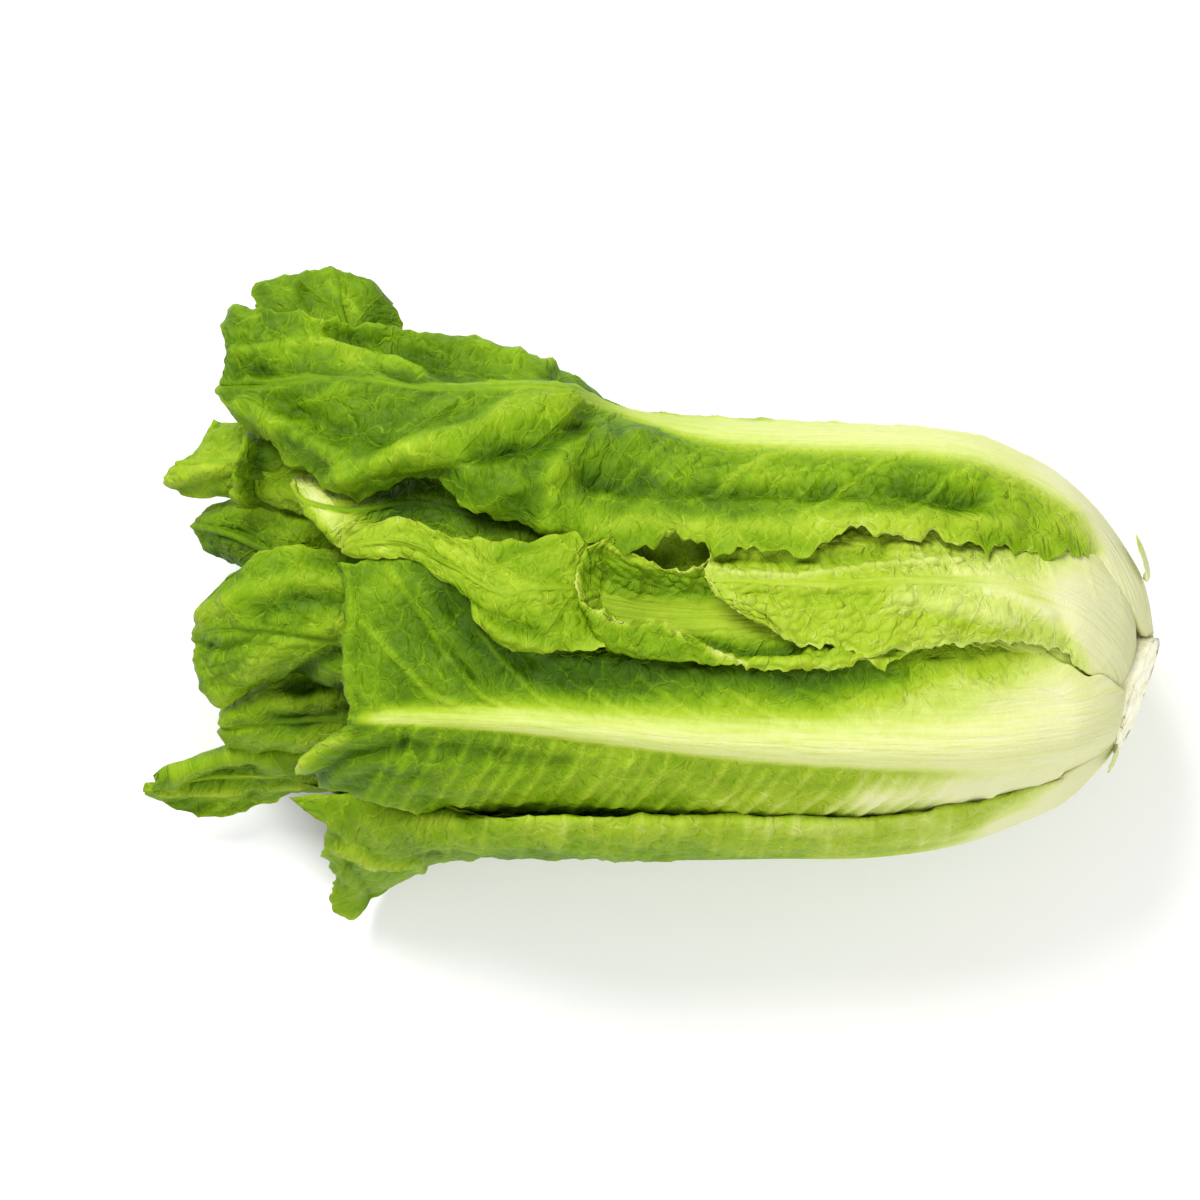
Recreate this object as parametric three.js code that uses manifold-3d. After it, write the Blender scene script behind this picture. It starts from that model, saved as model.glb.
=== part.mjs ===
// Romaine lettuce head lying on its side: a short cut stem with leaves clasped
// round it in overlapping layers. Each leaf is its own closed sheet with a
// thick midrib on its outer face. Millimetres, +Z up. The head lies along X
// with the cut stem towards +X and the leaf tips towards -X, resting on Z = 0.
import * as THREE from "three";
import { mergeVertices } from "three/addons/utils/BufferGeometryUtils.js";
import Module from "manifold-3d";

// Driving dimensions.
const GRID = 0.3; // mm per unit of the leaf table's first two columns
const GRID_X0 = 650; // table x of the head's middle
const GRID_Y0 = 636; // table y of the head's axis
const EYE = { x: -15, y: 10.8, z: 1500, plane: 57 }; // point that the table's flat coordinates are drawn from
const AXIS_Z = 56; // height of the head's axis over the surface
const HALF_WIDTH = [[200, 74], [300, 74], [400, 72], [500, 70], [600, 68], [700, 67], [850, 66], [1200, 66]];
const HALF_HEIGHT = [[200, 56], [400, 58], [700, 59], [1200, 59]];
const CORE = { inner: 920, cut: 1138, y1: 690, z1: 60, r0: 7.5, r1: 16.5, leanY: 19, leanZ: 13 }; // the stem and the slant of its cut face
const NOSE = 260; // length of the rounded base, in table units
const NOSE_STEP = 4; // how much sooner it starts for each mm of depth
const BLADE = 1.0; // blade thickness
const GAP = 0.35; // clearance kept between neighbouring leaves
const SHIFT = [1.035, -12.055, 0]; // puts the origin at the middle of the base

// Each row of a leaf runs across it, from one edge through the midrib to the
// other: x, then y or an angle round the axis, then depth under the outside of
// the head (or 1000 + height over the surface).
const LEAVES = [
  { name: "leaf_top", wide: 1, kind: "outer", rib: [5.5, 15.0], floor: 0, rows: [
    [0, [126,112,101,92,85,78,70], [1.3,1.7,2.1,2.3,1.2,1.6,2.0]],
    [3, [130,114,98,82,70,60,52], [1.1,1.5,1.9,2.1,1.2,1.8,2.4]],
    [14, [134,118,96,75,62,52,45], [1,1.4,1.8,2,1.4,2.0,2.8]],
    [45, [138,120,94.0,74,61,51,44], [1,1.4,1.8,2,1.4,2.0,2.8]],
    [1050, [146,126,96.5,74,55,45,32], [1,1.4,1.8,2,1.4,1.8,2.4]],
    [970, [150,129,97.5,73,54,41,26], [1,1.4,1.8,2,1.4,1.6,2.0]],
    [880, [152,130,97.5,72.5,53,41,26], [1,1.4,1.8,2,1.6,1.3,1.2]],
    [790, [150,129,97.0,72.5,53,41,22], [1,1.4,1.8,2,1.6,1.3,1.2]],
    [700, [146,126,96.0,73,54,40,22], [1,1.4,0.8,1,1.6,0,1.2]],
    [625, [120,104,88.0,77,60,41,23], [2,1.4,-0.2,-1,-1.4,-1.8,0.6]],
    [[566,564,562,560,558,556,560], [365,373,381,389,430,485,542], [1066,1072,1080,1089,1101,1106,1103.5]],
    [[490,490,490,490,488,486,490], [339,356,373,388,425,468,513], [1066,1072,1081,1091,1102,1108,1102]],
    [[421,420,420,420,418,416,420], [331,350,371,388,418,450,484], [1070,1075,1082,1091,1099,1106,1101]],
    [[352,349,347,346,345,346,350], [324,343,362,378,418,460,500], [1072,1075,1081,1090,1094,1100,1094]],
    [[291,288,286,286,286,288,292], [312,335,360,384,409,435,462], [1072,1075,1080,1085,1087,1090,1086]],
    [[243,236,234,234,238,246,258], [305,326,350,386,400,412,430], [1069,1073,1076,1079,1081,1083,1082]],
    [[231,222,222,221,225,231,240], [312,328,350,385,396,409,424], [1065,1070,1073,1076,1077,1079,1079]],
  ] },
  { name: "leaf_front", wide: 1, kind: "outer", rib: [5.0, 13.0], floor: 0, rows: [
    [0, [-13.8,-19.4,-25.8,-33,-41,-49,-57.8], 1],
    [3, [-9,-16,-24,-33,-43,-53,-64], 1],
    [14, [-10,-16,-24,-33,-43.4,-53.8,-65.2], [1.4,1,0.8,0.6,0.8,1.6,2.4]],
    [45, [-11,-16.4,-24,-33,-44,-55,-67], [2,1,0.5,0,0.6,2.5,4.5]],
    [1045, [658,683,-21,-33,-45,-60,-68], [4.5,3,1.5,0,1.0,2.8,8.5]],
    [970, [641,671,-18,-32,-46,800,808], [6.5,4.5,2.5,0.3,1.6,4.2,13.5]],
    [870, [651,678,712,748,784,813,822], [6.5,4.2,2.5,0.5,2.5,4.6,15.5]],
    [780, [657,682,712,745,782,814,824], [6.5,4.2,2.5,0.8,2.6,4.6,15.5]],
    [690, [655,680,708,739,777,811,822], [6.5,4.3,3.0,1.0,3.0,4.8,15.5]],
    [600, [646,670,699,730,770,806,819], [7,5,4.0,1.8,3.6,5.4,16]],
    [520, [636,663,690,722,763,802,816], [7,5.5,5,2.5,4.5,6.4,16.5]],
    [455, [569,620,668,719,755,796,813], [7,6.5,6.2,4,5.5,8.2,17]],
    [[402,402,402,402,398,396,398], [558,606,660,718,748,780,807], [8,8,7.5,5.5,7.5,10,14]],
    [[352,356,358,362,346,330,336], [562,604,655,719,738,765,792], [11,11,10.5,9,14,17,21]],
    [[338,343,341,347,325,297,318], [562,604,660,719,738,768,789], [14,13,13,12.5,20,24,27]],
  ] },
  { name: "leaf_bottom", wide: 1, kind: "outer", rib: [5.0, 14.0], floor: 1.5, rows: [
    [0, [-67.4,-78.6,-91.4,-105,-120.2,-134.6,-149], [0.3,0.9,1.5,1.9,1.3,0.8,0.3]],
    [3, [-58,-72,-88,-105,-124,-142,-160], [0.3,0.9,1.5,1.9,1.3,0.8,0.3]],
    [14, [-58,-72.4,-89.6,-107.8,-128,-146.8,-164.8], [1.6,1.8,2.2,2.2,1.6,1.1,0.6]],
    [45, [-58.5,-62.5,-76,-98,-126,-150,-172], [2.2,1.4,1.2,1.2,1.8,1.5,1]],
    [1040, [-63,-60,-75,-97,-128,-154,-178], [3.8,1.6,0.8,1.0,1.8,1.5,1]],
    [960, [-64.5,-56.5,-71,-95,-126,-151,-175], [7,1.4,0.2,0.4,1.4,1.5,1]],
    [870, [-66,-56.5,-71,-95,-126,-151,-175], [8,0.9,0.2,0.4,1.4,1.5,1]],
    [780, [-66,-56,-70.5,-95,-126,-151,-175], [8,0.9,0.2,0.4,1.4,1.5,1]],
    [690, [-65.5,-54.6,-70,-95,-126,-151,-175], [8,0.9,0.2,0.4,1.4,1.5,1]],
    [600, [-64,-52.6,-69,-95,-126,-151,-175], [8,0.9,0.2,1.6,2.4,1.5,1]],
    [520, [-62.5,-50.8,-67.5,-95,-126,-151,-175], [8,1.2,1.4,3.4,4.4,1.5,1]],
    [[454,455,456,458,462,466,470], [806,821,842,857,-128,-146,-162], [1068,1077,1068,1046,2.5,2,2]],
    [[400,400,402,404,420,440,452], [799,820,850,872,866,846,820], [1062,1070,1056,1035,1019,1009,1004]],
    [[346,348,350,356,376,404,424], [795,822,864,890,890,868,836], [1056,1058,1042,1023,1011,1005,1003]],
    [[291,320,328,330,344,364,390], [797,826,862,893,918,904,872], [1048,1050,1036,1021,1010,1005,1003]],
  ] },
  { name: "leaf_under", wide: 1, kind: "outer", rib: [5.0, 13.0], floor: 0, rows: [
    [0, [207.8,198.2,188.6,179,169.4,159.8,150.2], 0.8],
    [3, [215,203,191,179,167,155,143], 0.8],
    [14, [220.2,206.6,192.6,179,165.4,151.4,138.6], [0.7,0.5,0.3,0.1,0.3,0.5,0.7]],
    [45, [228,212,195,179,163,146,132], [0.6,0,-0.5,-1,-0.5,0,0.6]],
    [1030, [236,217,198,179,160,141,123], [-0.6,-1,-1,-1,-1,-1,-0.6]],
    [930, [240,220,200,180,160,139,119], [-1,-1,-1,-1,-1,-1,-1]],
    [820, [240,220,200,180,160,139,119], [-1,-1,-1,-1,-1,-1,-1]],
    [700, [240,220,200,181,161,140,120], [-1,-1,-1,-1,-1,-1,-1]],
    [590, [238,220,202,183,163,143,124], [-1,-1,-1,-1,-1,-1,-1]],
    [490, [236,220,204,185,166,148,131], [1,0,-1,-1,-1,0,1]],
    [[400,396,392,388,392,398,404], [232,218,203,186,170,154,140], [8,4,0,-1,0,4,8]],
    [[320,308,300,296,300,310,322], [222,212,200,187,175,164,154], [11,7,2,-1,2,7,11]],
    [[262,244,232,226,232,246,266], [212,204,197,188,180,173,166], [14,9,3,-1,3,9,14]],
  ] },
  { name: "leaf_back", wide: 1, kind: "outer", rib: [2.0, 12.0], floor: 1.5, rows: [
    [0, [168.2,157.8,147.4,137,126.6,117,107.4], [2.6,3.2,4.0,4.8,5.2,5.6,6.0]],
    [3, [176,163,150,137,124,112,100], [2.6,3.2,4.0,4.8,5.2,5.6,6.0]],
    [14, [176.4,165,151.2,137,122.8,109.6,96.8], [2.6,3.2,4.0,4.8,5.2,5.6,6.0]],
    [45, [177,168,153,137,121,106,92], [2.6,3.2,4.0,4.8,5.2,5.6,6.0]],
    [1020, [177,170,153,136,118,101,84], [2.6,3.2,4.0,4.8,5.2,5.6,6.0]],
    [920, [177,169,151,133,114,96,78], [2.6,3.2,4.0,4.8,5.2,5.6,6.0]],
    [810, [177,166,148,129,110,91,73], [2.6,3.2,4.0,4.8,5.2,5.6,6.0]],
    [700, [176,159,141,123,104,86,69], [2.6,3.2,4.0,4.8,5.2,5.6,6.0]],
    [600, [160,145,130,114,98,82,66], [3,3.0,3.2,3.2,3.4,4.4,5.4]],
    [[520,522,524,526,528,530,536], [150,136,122,108,94,366,384], [3,2,1,-1,-4,1062,1069]],
    [[440,444,448,452,456,460,470], [146,132,118,104,352,336,362], [6,3,1,0,1046,1055,1060]],
    [[372,376,380,384,388,392,400], [142,130,118,106,360,342,356], [10,7,3,1,1046,1056,1060]],
    [[336,332,332,334,340,348,358], [136,128,118,108,372,352,362], [15,12,8,5,1044,1050,1054]],
  ] },
  { name: "leaf_short_front", kind: "outer", rib: [1.6, 9.0], floor: 0, rows: [
    [0, [68,50,32,12,5.6,-0.8,-7.2], [4.4,3.2,2.4,2.1,2.2,2.3,2.4]],
    [3, [68,50,32,12,4,-4,-12], [4.5,3.3,2.4,2.0,2.1,2.2,2.3]],
    [14, [68,50,32,13.2,5.2,-2.4,-9.6], [5.2,3.6,2.5,2.0,2.1,2.3,2.5]],
    [45, [68,50,32,15,7,0,-6], [6.6,4.3,2.8,1.8,2.0,2.4,3.0]],
    [1045, [68,50,32,16,9,3,-1], [7.4,5.0,3.3,2.2,2.4,2.8,3.4]],
    [980, [42,33,25,16,9,3,-1], [7.7,5.6,3.6,2.0,1.8,2.0,2.6]],
    [905, [41,32,24,15,8,1,-3.5], [7.7,5.6,3.6,1.8,1.4,1.6,2.2]],
    [840, [40,31,23,14,7,0,-4], [7.9,5.6,3.6,1.8,1.4,1.4,2.0]],
    [[785,780,778,776,780,786,792], [517,536,558,582,603,622,641], [3.6,3.2,2.6,2,1.8,1.8,2.4]],
    [[738,724,714,712,722,740,762], [531,545,560,579,598,610,621], [4,3.4,2.6,2.2,2.2,2.4,2.8]],
    [[722,712,706,705,716,733,750], [536,548,560,576,595,609,617], [4.2,3.6,2.8,2.4,2.4,2.6,3.0]],
  ] },
  { name: "leaf_cup", kind: "outer", rib: [1.8, 7.0], floor: 0, rows: [
    [0, [11.8,6.2,0.6,-5,-9.8,-14.6,-20.2], [5.3,5.0,5.0,5.0,5.0,5.0,5.2]],
    [3, [16,9,2,-5,-11,-17,-24], [5.3,5.0,5.0,5.0,5.0,5.0,5.2]],
    [14, [16.8,9.8,2.4,-4.6,-10.2,-15.8,-22], [5.5,5.2,5.2,5.2,5.2,5.2,5.4]],
    [45, [18,11,3,-4,-9,-14,-19], [6.1,5.8,5.8,5.8,5.8,5.8,6.0]],
    [1000, [20,12,5,-1,-4,649,655], [7.5,7.2,7.2,7.2,7.2,7.2,7.4]],
    [[952,950,948,946,948,950,954], [22,14,607,617,627,635,643], [9,9.4,9.6,9.6,8.6,6.6,3.6]],
    [[892,890,888,886,888,890,893], [24,586,603,617,633,648,660], [9,10,10.6,10.6,8.8,5.2,3.4]],
    [[820,820,820,820,820,820,822], [570,586,603,619,637,655,670], [9,10,11,11.2,8.6,3.6,2.6]],
    [[765,765,765,765,762,760,758], [566,583,601,619,642,659,669], [7.6,9.4,11,11.6,7.4,2.6,2.0]],
    [[722,720,718,716,712,716,722], [562,580,599,619,648,665,656], [6.2,8.8,11,11.8,6.4,2.0,0.2]],
    [[680,676,670,664,664,668,680], [568,582,598,616,652,659,634], [3.6,7.4,10.5,11.6,5.6,1.0,-0.6]],
    [[645,638,630,624,626,634,652], [557,572,592,611,652,651,620], [1.6,5.6,9.4,10.8,5.2,0.6,-0.8]],
    [[617,606,598,594,599,608,627], [543,558,582,603,638,643,622], [0.4,4.4,8.6,9.6,5.4,1.0,-0.6]],
    [[606,590,579,575,577,588,604], [538,547,562,579,596,608,616], [-0.4,0.6,1.6,2.4,2.6,1.2,-0.4]],
  ] },
  { name: "leaf_left_mid", kind: "outer", rib: [1.4, 6.0], floor: 0, rows: [
    [0, [22.6,17,10.6,5,-0.6,-6.2,-11.8], 10.5],
    [3, [27,20,12,5,-2,-9,-16], 10.5],
    [14, [28.2,20.8,12.8,5.4,-2,-9,-15.6], 10.9],
    [45, [30,22,14,6,-2,-9,-15], 11.5],
    [880, [32,24,15,6,-2,-9,-14], 13.0],
    [780, [32,24,15,6,-2,-9,-14], [13.2,13.6,14.0,14.2,14.0,13.6,13.2]],
    [690, [530,550,570,590,610,628,640], [8.6,12.0,14.5,15,14.6,12.5,9.4]],
    [620, [528,545,565,588,611,634,650], [3.8,6.4,12.5,13.2,11.6,8.2,3.4]],
    [[560,556,552,550,548,548,552], [534,549,567,588,612,635,652], [2.6,1.6,1.2,0.8,0.8,1.4,3.6]],
    [[500,500,500,500,500,498,498], [540,556,574,592,611,630,645], [2.8,1.6,1.2,1.2,1.2,1.6,3.6]],
    [[452,452,452,453,454,458,466], [534,545,556,566,578,592,604], [3.2,2.0,2.0,2.4,2.8,3.2,4.4]],
    [[408,406,404,403,403,405,410], [517,526,535,543,550,556,562], [3.0,2.4,3.4,4.4,5.0,5.6,6.4]],
    [[366,362,360,360,362,366,374], [524,531,537,543,548,553,558], [5.4,5.0,5.8,6.6,7.2,7.8,8.4]],
    [[350,345,342,341,342,346,352], [541,544,547,550,552,554,557], [8.4,8.2,8.6,9.0,9.6,10,10.6]],
  ] },
  { name: "leaf_inner_top", kind: "inner", rib: [1.4, 6.0], floor: 0, rows: [
    [0, [58.6,51.4,44.2,37,30.6,24.2,18.6], [9.2,9.2,9.6,11,12.5,12.5,12.5]],
    [3, [64,55,46,37,29,21,14], [9.2,9.2,9.6,11,12.5,12.5,12.5]],
    [14, [68,57.8,48,38.2,29.4,21,13.2], [9.2,9.2,9.6,11,12.5,12.5,12.5]],
    [45, [74,62,51,40,30,21,12], [10.6,10.4,10.4,11.6,13.2,13.4,13.6]],
    [920, [78,65,53,41,30,20,10], [12.5,12,11.6,13,15,15.6,15.8]],
    [800, [78,65,53,41,30,19,9], [12.5,12,11.6,13.4,16,16.4,16.4]],
    [690, [76,64,52,40,29,18,8], [12.5,12,11.6,13.4,16,16.6,16.8]],
    [590, [74,62,50,38,28,19,10], [12.5,12,11.4,12.6,15,15.6,15.8]],
    [500, [70,58,47,35,27,19,11], [12,11.4,10.6,10,10.6,11.6,12.8]],
    [[420,420,420,418,416,414,414], [450,468,486,503,516,528,540], [16,13,11.5,11,12,13,14.4]],
    [[372,366,360,352,346,343,342], [458,478,496,510,524,537,548], [18,15,12,10,10.4,12,14]],
    [[318,312,308,305,306,312,322], [474,482,491,501,513,526,540], [18,15.5,13.5,12,12.4,14,16]],
    [[297,293,291,290,292,296,302], [473,475,478,483,489,496,504], [17.5,16.5,15.5,15,15.2,15.8,16.8]],
  ] },
  { name: "leaf_left_big", kind: "outer", rib: [1.6, 7.0], floor: 0, rows: [
    [0, [-11.6,-20.4,-29.2,-38,-46.8,-55.6,-64.4], 9.5],
    [3, [-5,-16,-27,-38,-49,-60,-71], 9.5],
    [14, [-1.8,-14,-26.2,-38.4,-50.6,-62.4,-73.8], 10.1],
    [45, [3,-11,-25,-39,-53,-66,-78], [13,12,11,11,11.5,13,14]],
    [900, [6,-9,-24,-39,-54,-68,-80], [16,15.5,13.5,12.5,14.5,20,22.5]],
    [780, [6,-9,-24,-39,-53,-67,-79], [16.5,16,13.8,12.5,14.5,20.5,23]],
    [660, [5,-8,-22,-36,-50,-64,-77], [16.5,16,13.8,12.8,14.8,20.8,23]],
    [550, [4,-7,-19,-31,-44,-58,-71], [16.5,16,14.6,13.8,15.5,20.5,23]],
    [450, [596,630,660,690,718,746,770], [17,16.5,16.5,17,18,20,24]],
    [[372,368,364,362,360,362,366], [558,592,622,650,676,702,726], [1086,1087,1087,1085,1082,1077,1070]],
    [[304,296,290,287,286,290,300], [546,578,606,634,655,672,684], [1080,1083,1083,1080,1076,1070,1062]],
    [[252,238,229,226,228,238,254], [552,572,598,630,658,678,690], [1078,1077,1074,1070,1066,1061,1056]],
    [[230,212,200,191,192,203,222], [573,592,608,634,668,695,706], [1070,1067,1063,1058,1055,1053,1050]],
  ] },
  { name: "leaf_left_low", kind: "outer", rib: [1.6, 7.0], floor: 0, rows: [
    [0, [-47.2,-56.8,-66.4,-76,-85.6,-95.2,-104.8], 11],
    [3, [-40,-52,-64,-76,-88,-100,-112], 11],
    [14, [-37.6,-50.8,-64,-77.2,-90.4,-103.2,-116], 12.2],
    [45, [-34,-49,-64,-79,-94,-108,-122], [14.5,14.5,14.8,15.5,15,14.2,14]],
    [890, [-30,-46,-62,-79,-96,-112,-127], [18,19.5,22.5,24.8,20.5,16.5,15]],
    [780, [-30,-46,-62,-79,-96,-112,-127], [18,19.5,23,25.2,20.5,16.5,15]],
    [660, [-28,-43,-59,-75,-92,-108,-123], [18.5,19.5,23,25.2,20.5,16.5,15.5]],
    [550, [-25,-39,-54,-69,-85,-101,-116], [19,20,22.5,24.6,21,17.5,16]],
    [450, [-20,-33,-47,-61,-76,-92,-108], [20,19.5,19,19,19,19.5,20]],
    [[372,370,366,362,362,366,372], [650,676,702,726,748,766,780], [1075,1071,1068,1063,1056,1048,1038]],
    [[306,298,292,288,288,294,304], [664,684,704,722,736,750,764], [1062,1058,1058,1055,1050,1042,1032]],
    [[256,244,236,232,234,242,256], [688,700,714,727,739,750,760], [1051,1050,1052,1048,1043,1038,1031]],
    [[238,228,223,221,223,232,246], [697,704,714,726,738,746,754], [1047,1045,1047,1044,1040,1036,1031]],
  ] },
  { name: "leaf_left_tip", kind: "outer", rib: [1.6, 6.0], floor: 0, rows: [
    [0, [-91.2,-100.8,-110.4,-120,-129.6,-139.2,-148.8], 8.5],
    [3, [-84,-96,-108,-120,-132,-144,-156], 8.5],
    [14, [-81.6,-94.8,-108,-121.2,-134.4,-147.6,-160.4], 9.1],
    [45, [-78,-93,-108,-123,-138,-153,-167], 10],
    [900, [-76,-92,-108,-124,-140,-156,-171], 10],
    [780, [-76,-92,-108,-124,-140,-156,-171], 10],
    [660, [-74,-90,-106,-122,-138,-154,-169], 10.5],
    [550, [-70,-86,-102,-118,-134,-150,-165], 12],
    [450, [-66,-81,-97,-113,-129,-145,-160], [16,14,13,13,13,14,16]],
    [[370,366,360,356,356,360,368], [742,756,772,784,790,786,776], [1048,1046,1040,1032,1024,1018,1016]],
    [[300,292,286,284,286,290,296], [742,752,764,776,786,792,794], [1036,1040,1038,1030,1023,1018,1016]],
    [[236,228,224,222,222,224,230], [742,752,763,777,793,806,816], [1026,1034,1033,1025,1018,1014,1013]],
    [[190,182,178,176,176,178,184], [757,766,774,783,794,804,813], [1024,1030,1029,1022,1016,1013,1012]],
    [[160,153,147,144,144,147,153], [779,780,781,783,787,791,796], [1027,1029,1027,1023,1019,1016,1014]],
  ] },
  { name: "leaf_upper_left", kind: "outer", rib: [1.6, 6.0], floor: 0, rows: [
    [0, [74,66,58,50,42,34,26], 14.5],
    [3, [80,70,60,50,40,30,20], 14.5],
    [14, [83.2,72.4,61.6,50.8,40,29.2,18.4], 15],
    [45, [88,76,64,52,40,28,16], 16],
    [890, [92,79,66,53,40,27,15], [16,16,16.2,17,18.2,18.6,18.8]],
    [780, [92,79,66,53,40,27,15], [16,16,16.2,17,18.2,18.6,18.8]],
    [660, [90,77,64,51,38,26,14], [16,16,16.2,17,18.2,18.6,18.8]],
    [550, [86,73,60,48,36,24,13], [17,17,17,17.4,18,18.4,18.6]],
    [450, [80,68,56,45,34,23,13], [18,18,18,18,18.5,19,19.5]],
    [[366,364,362,360,360,362,366], [418,438,458,478,498,516,534], [1062,1068,1073,1077,1078,1078,1076]],
    [[300,296,292,290,290,292,296], [412,430,446,462,478,494,510], [1058,1063,1068,1071,1072,1070,1067]],
    [[238,226,218,214,214,218,226], [418,430,446,462,478,490,500], [1056,1060,1063,1065,1064,1061,1058]],
    [[212,207,192,174,164,164,178], [418,428,455,463,474,487,499], [1052,1055,1057,1058,1057,1055,1053]],
  ] },
  { name: "leaf_upper_fold", kind: "inner", rib: [1.4, 5.0], floor: 0, rows: [
    [0, [54,46,38,30,22,14.8,7.6], 18.5],
    [3, [60,50,40,30,20,11,2], 18.5],
    [14, [62.4,51.6,41.2,30.8,20.4,10.6,1.2], 18.9],
    [45, [66,54,43,32,21,10,0], [20,20,20.2,20.6,21,21.2,21.4]],
    [860, [68,56,44,32,20,9,-2], [20,20,20.2,20.6,21,21.2,21.4]],
    [750, [68,56,44,32,20,9,-2], [20,20,20.2,20.6,21,21.2,21.4]],
    [640, [66,54,42,31,20,9,-1], [20,20,20.2,20.6,21,21.2,21.4]],
    [540, [63,52,41,30,20,10,1], [20,20,20.2,20.6,21,21.2,21.4]],
    [450, [59,49,39,30,21,12,4], 22],
    [[372,368,366,366,366,368,372], [438,454,470,488,506,522,538], [1066,1068,1068,1069,1070,1069,1068]],
    [[302,298,296,296,297,300,304], [438,450,464,480,496,510,522], [1070,1071,1070,1066,1064,1062,1060]],
    [[262,254,248,246,248,254,262], [436,446,460,476,490,502,512], [1074,1077,1076,1070,1066,1063,1060]],
    [[247,240,235,232,230,230,236], [431,441,454,470,486,498,508], [1073,1078,1078,1073,1068,1064,1061]],
  ] },
  { name: "leaf_left_dark", kind: "inner", rib: [1.4, 5.0], floor: 0, rows: [
    [0, [18,10,2,-6,-14,-22,-30], 19],
    [3, [24,14,4,-6,-16,-26,-36], 19],
    [14, [25.6,14.8,4,-6.8,-17.6,-28.4,-39.2], 20],
    [45, [28,16,4,-8,-20,-32,-44], 21.5],
    [850, [30,17,4,-9,-22,-35,-48], [22.8,23,23.2,23.4,23.6,24,26]],
    [740, [30,17,4,-9,-22,-35,-48], [22.8,23,23.2,23.4,23.6,24,26]],
    [630, [29,16,3,-9,-22,-34,-46], [22.8,23,23.2,23.4,23.6,24,26]],
    [530, [27,15,3,-8,-20,-32,-43], [22.8,23,23.2,23.4,23.6,24,26]],
    [440, [25,14,3,-7,-17,-28,-38], 25],
    [[366,362,360,358,358,360,364], [508,528,550,572,596,620,642], [1070,1072,1073,1073,1071,1068,1064]],
    [[300,294,290,288,289,293,300], [500,520,540,560,582,604,622], [1060,1063,1064,1063,1061,1057,1052]],
    [[250,238,230,227,229,238,252], [498,508,520,534,550,564,574], [1053,1055,1056,1055,1053,1050,1046]],
    [[222,206,195,190,194,207,228], [502,506,514,526,541,553,559], [1048,1048,1047,1046,1045,1044,1042]],
  ] },
  { name: "leaf_tip_up", kind: "inner", rib: [1.4, 5.0], floor: 0, rows: [
    [0, [98.6,91.4,84.2,77,69.8,62.6,55.4], [9.4,9.2,8.8,8.6,8.6,8.6,8.6]],
    [3, [104,95,86,77,68,59,50], [9.4,9.2,8.8,8.6,8.6,8.6,8.6]],
    [14, [108.8,98.6,88.4,78.2,68,58.2,48.4], [9.4,9.2,8.8,8.6,8.6,8.6,8.6]],
    [45, [116,104,92,80,68,57,46], [9.4,9.2,8.8,8.6,8.6,8.6,8.6]],
    [920, [120,107,94,81,68,56,44], [9.4,9.2,8.8,8.6,8.6,8.6,8.6]],
    [800, [120,107,94,81,68,55,43], [9.4,9.2,8.8,8.6,8.6,8.6,8.6]],
    [690, [118,105,92,79,66,53,41], [9.4,9.2,8.8,8.6,8.6,8.6,8.6]],
    [590, [112,100,88,76,64,52,41], [9.4,9.2,8.8,8.6,8.6,8.6,8.6]],
    [[500,500,500,498,496,494,492], [104,93,82,72,62,53,44], [9,8,7,6.4,6.4,7,8]],
    [[438,434,430,424,416,408,400], [392,392,394,398,406,418,434], [1052,1062,1071,1077,1080,1081,1080]],
    [[408,397,384,370,352,334,320], [352,353,355,358,363,371,384], [1050,1056,1062,1067,1069,1069,1067]],
    [[396,384,366,344,318,288,262], [318,319,320,322,322,320,316], [1050,1054,1058,1060,1061,1060,1057]],
    [[388,376,358,334,306,278,250], [303,289,277,273,276,281,290], [1047,1050,1053,1054,1055,1054,1053]],
    [[384,370,352,332,306,280,254], [297,280,269,264,268,273,281], [1046,1048,1051,1052,1053,1052,1052]],
  ] },
  { name: "leaf_back_low", kind: "inner", rib: [1.2, 8.0], floor: 4.7, rows: [
    [0, [170,162,154,146,138,130,122], [6.4,6.4,6.6,6.6,6.8,7.2,7.6]],
    [3, [176,166,156,146,136,126,116], [6.4,6.4,6.6,6.6,6.8,7.2,7.6]],
    [14, [181.6,170,158.4,146.8,135.2,123.6,112], [6.4,6.4,6.6,6.6,6.8,7.2,7.6]],
    [45, [190,176,162,148,134,120,106], [6.4,6.4,6.6,6.6,6.8,7.2,7.6]],
    [910, [194,179,164,149,134,119,104], [6.4,6.4,6.6,6.6,6.8,7.2,7.6]],
    [790, [194,179,164,149,134,119,104], [6.4,6.4,6.6,6.6,6.8,7.2,7.6]],
    [670, [191,177,162,148,133,119,105], [6.4,6.4,6.6,6.6,6.8,7.2,7.6]],
    [560, [186,173,160,147,133,120,107], [6.4,6.4,6.6,6.6,6.8,7.2,7.6]],
    [450, [180,168,156,144,132,120,109], [10,8,6,5,6,7,9]],
    [[360,354,350,348,350,354,360], [174,164,154,144,134,124,115], [15,11,7,5,5,8,12]],
    [[292,280,272,268,272,280,292], [168,160,152,144,136,128,121], [19,14,9,6,6,9,13]],
    [[252,238,228,224,228,238,252], [163,157,151,144,138,132,126], [23,18,13,10,10,13,17]],
  ] },
  { name: "leaf_under_side", kind: "inner", rib: [1.6, 6.0], floor: 3.2, rows: [
    [0, [220,212,204,196,188,180,172], 4.2],
    [3, [226,216,206,196,186,176,166], 4.2],
    [14, [231.6,220,208.4,196.8,185.2,173.6,162], 4.1],
    [45, [240,226,212,198,184,170,156], 4],
    [912, [246,230,215,200,185,170,154], 4],
    [792, [246,230,215,200,185,170,154], 4],
    [672, [244,229,214,200,185,171,156], 4],
    [562, [240,226,212,199,185,172,158], 4.5],
    [452, [236,224,212,199,186,174,162], [9,6,4,3,3,4,6]],
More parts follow.
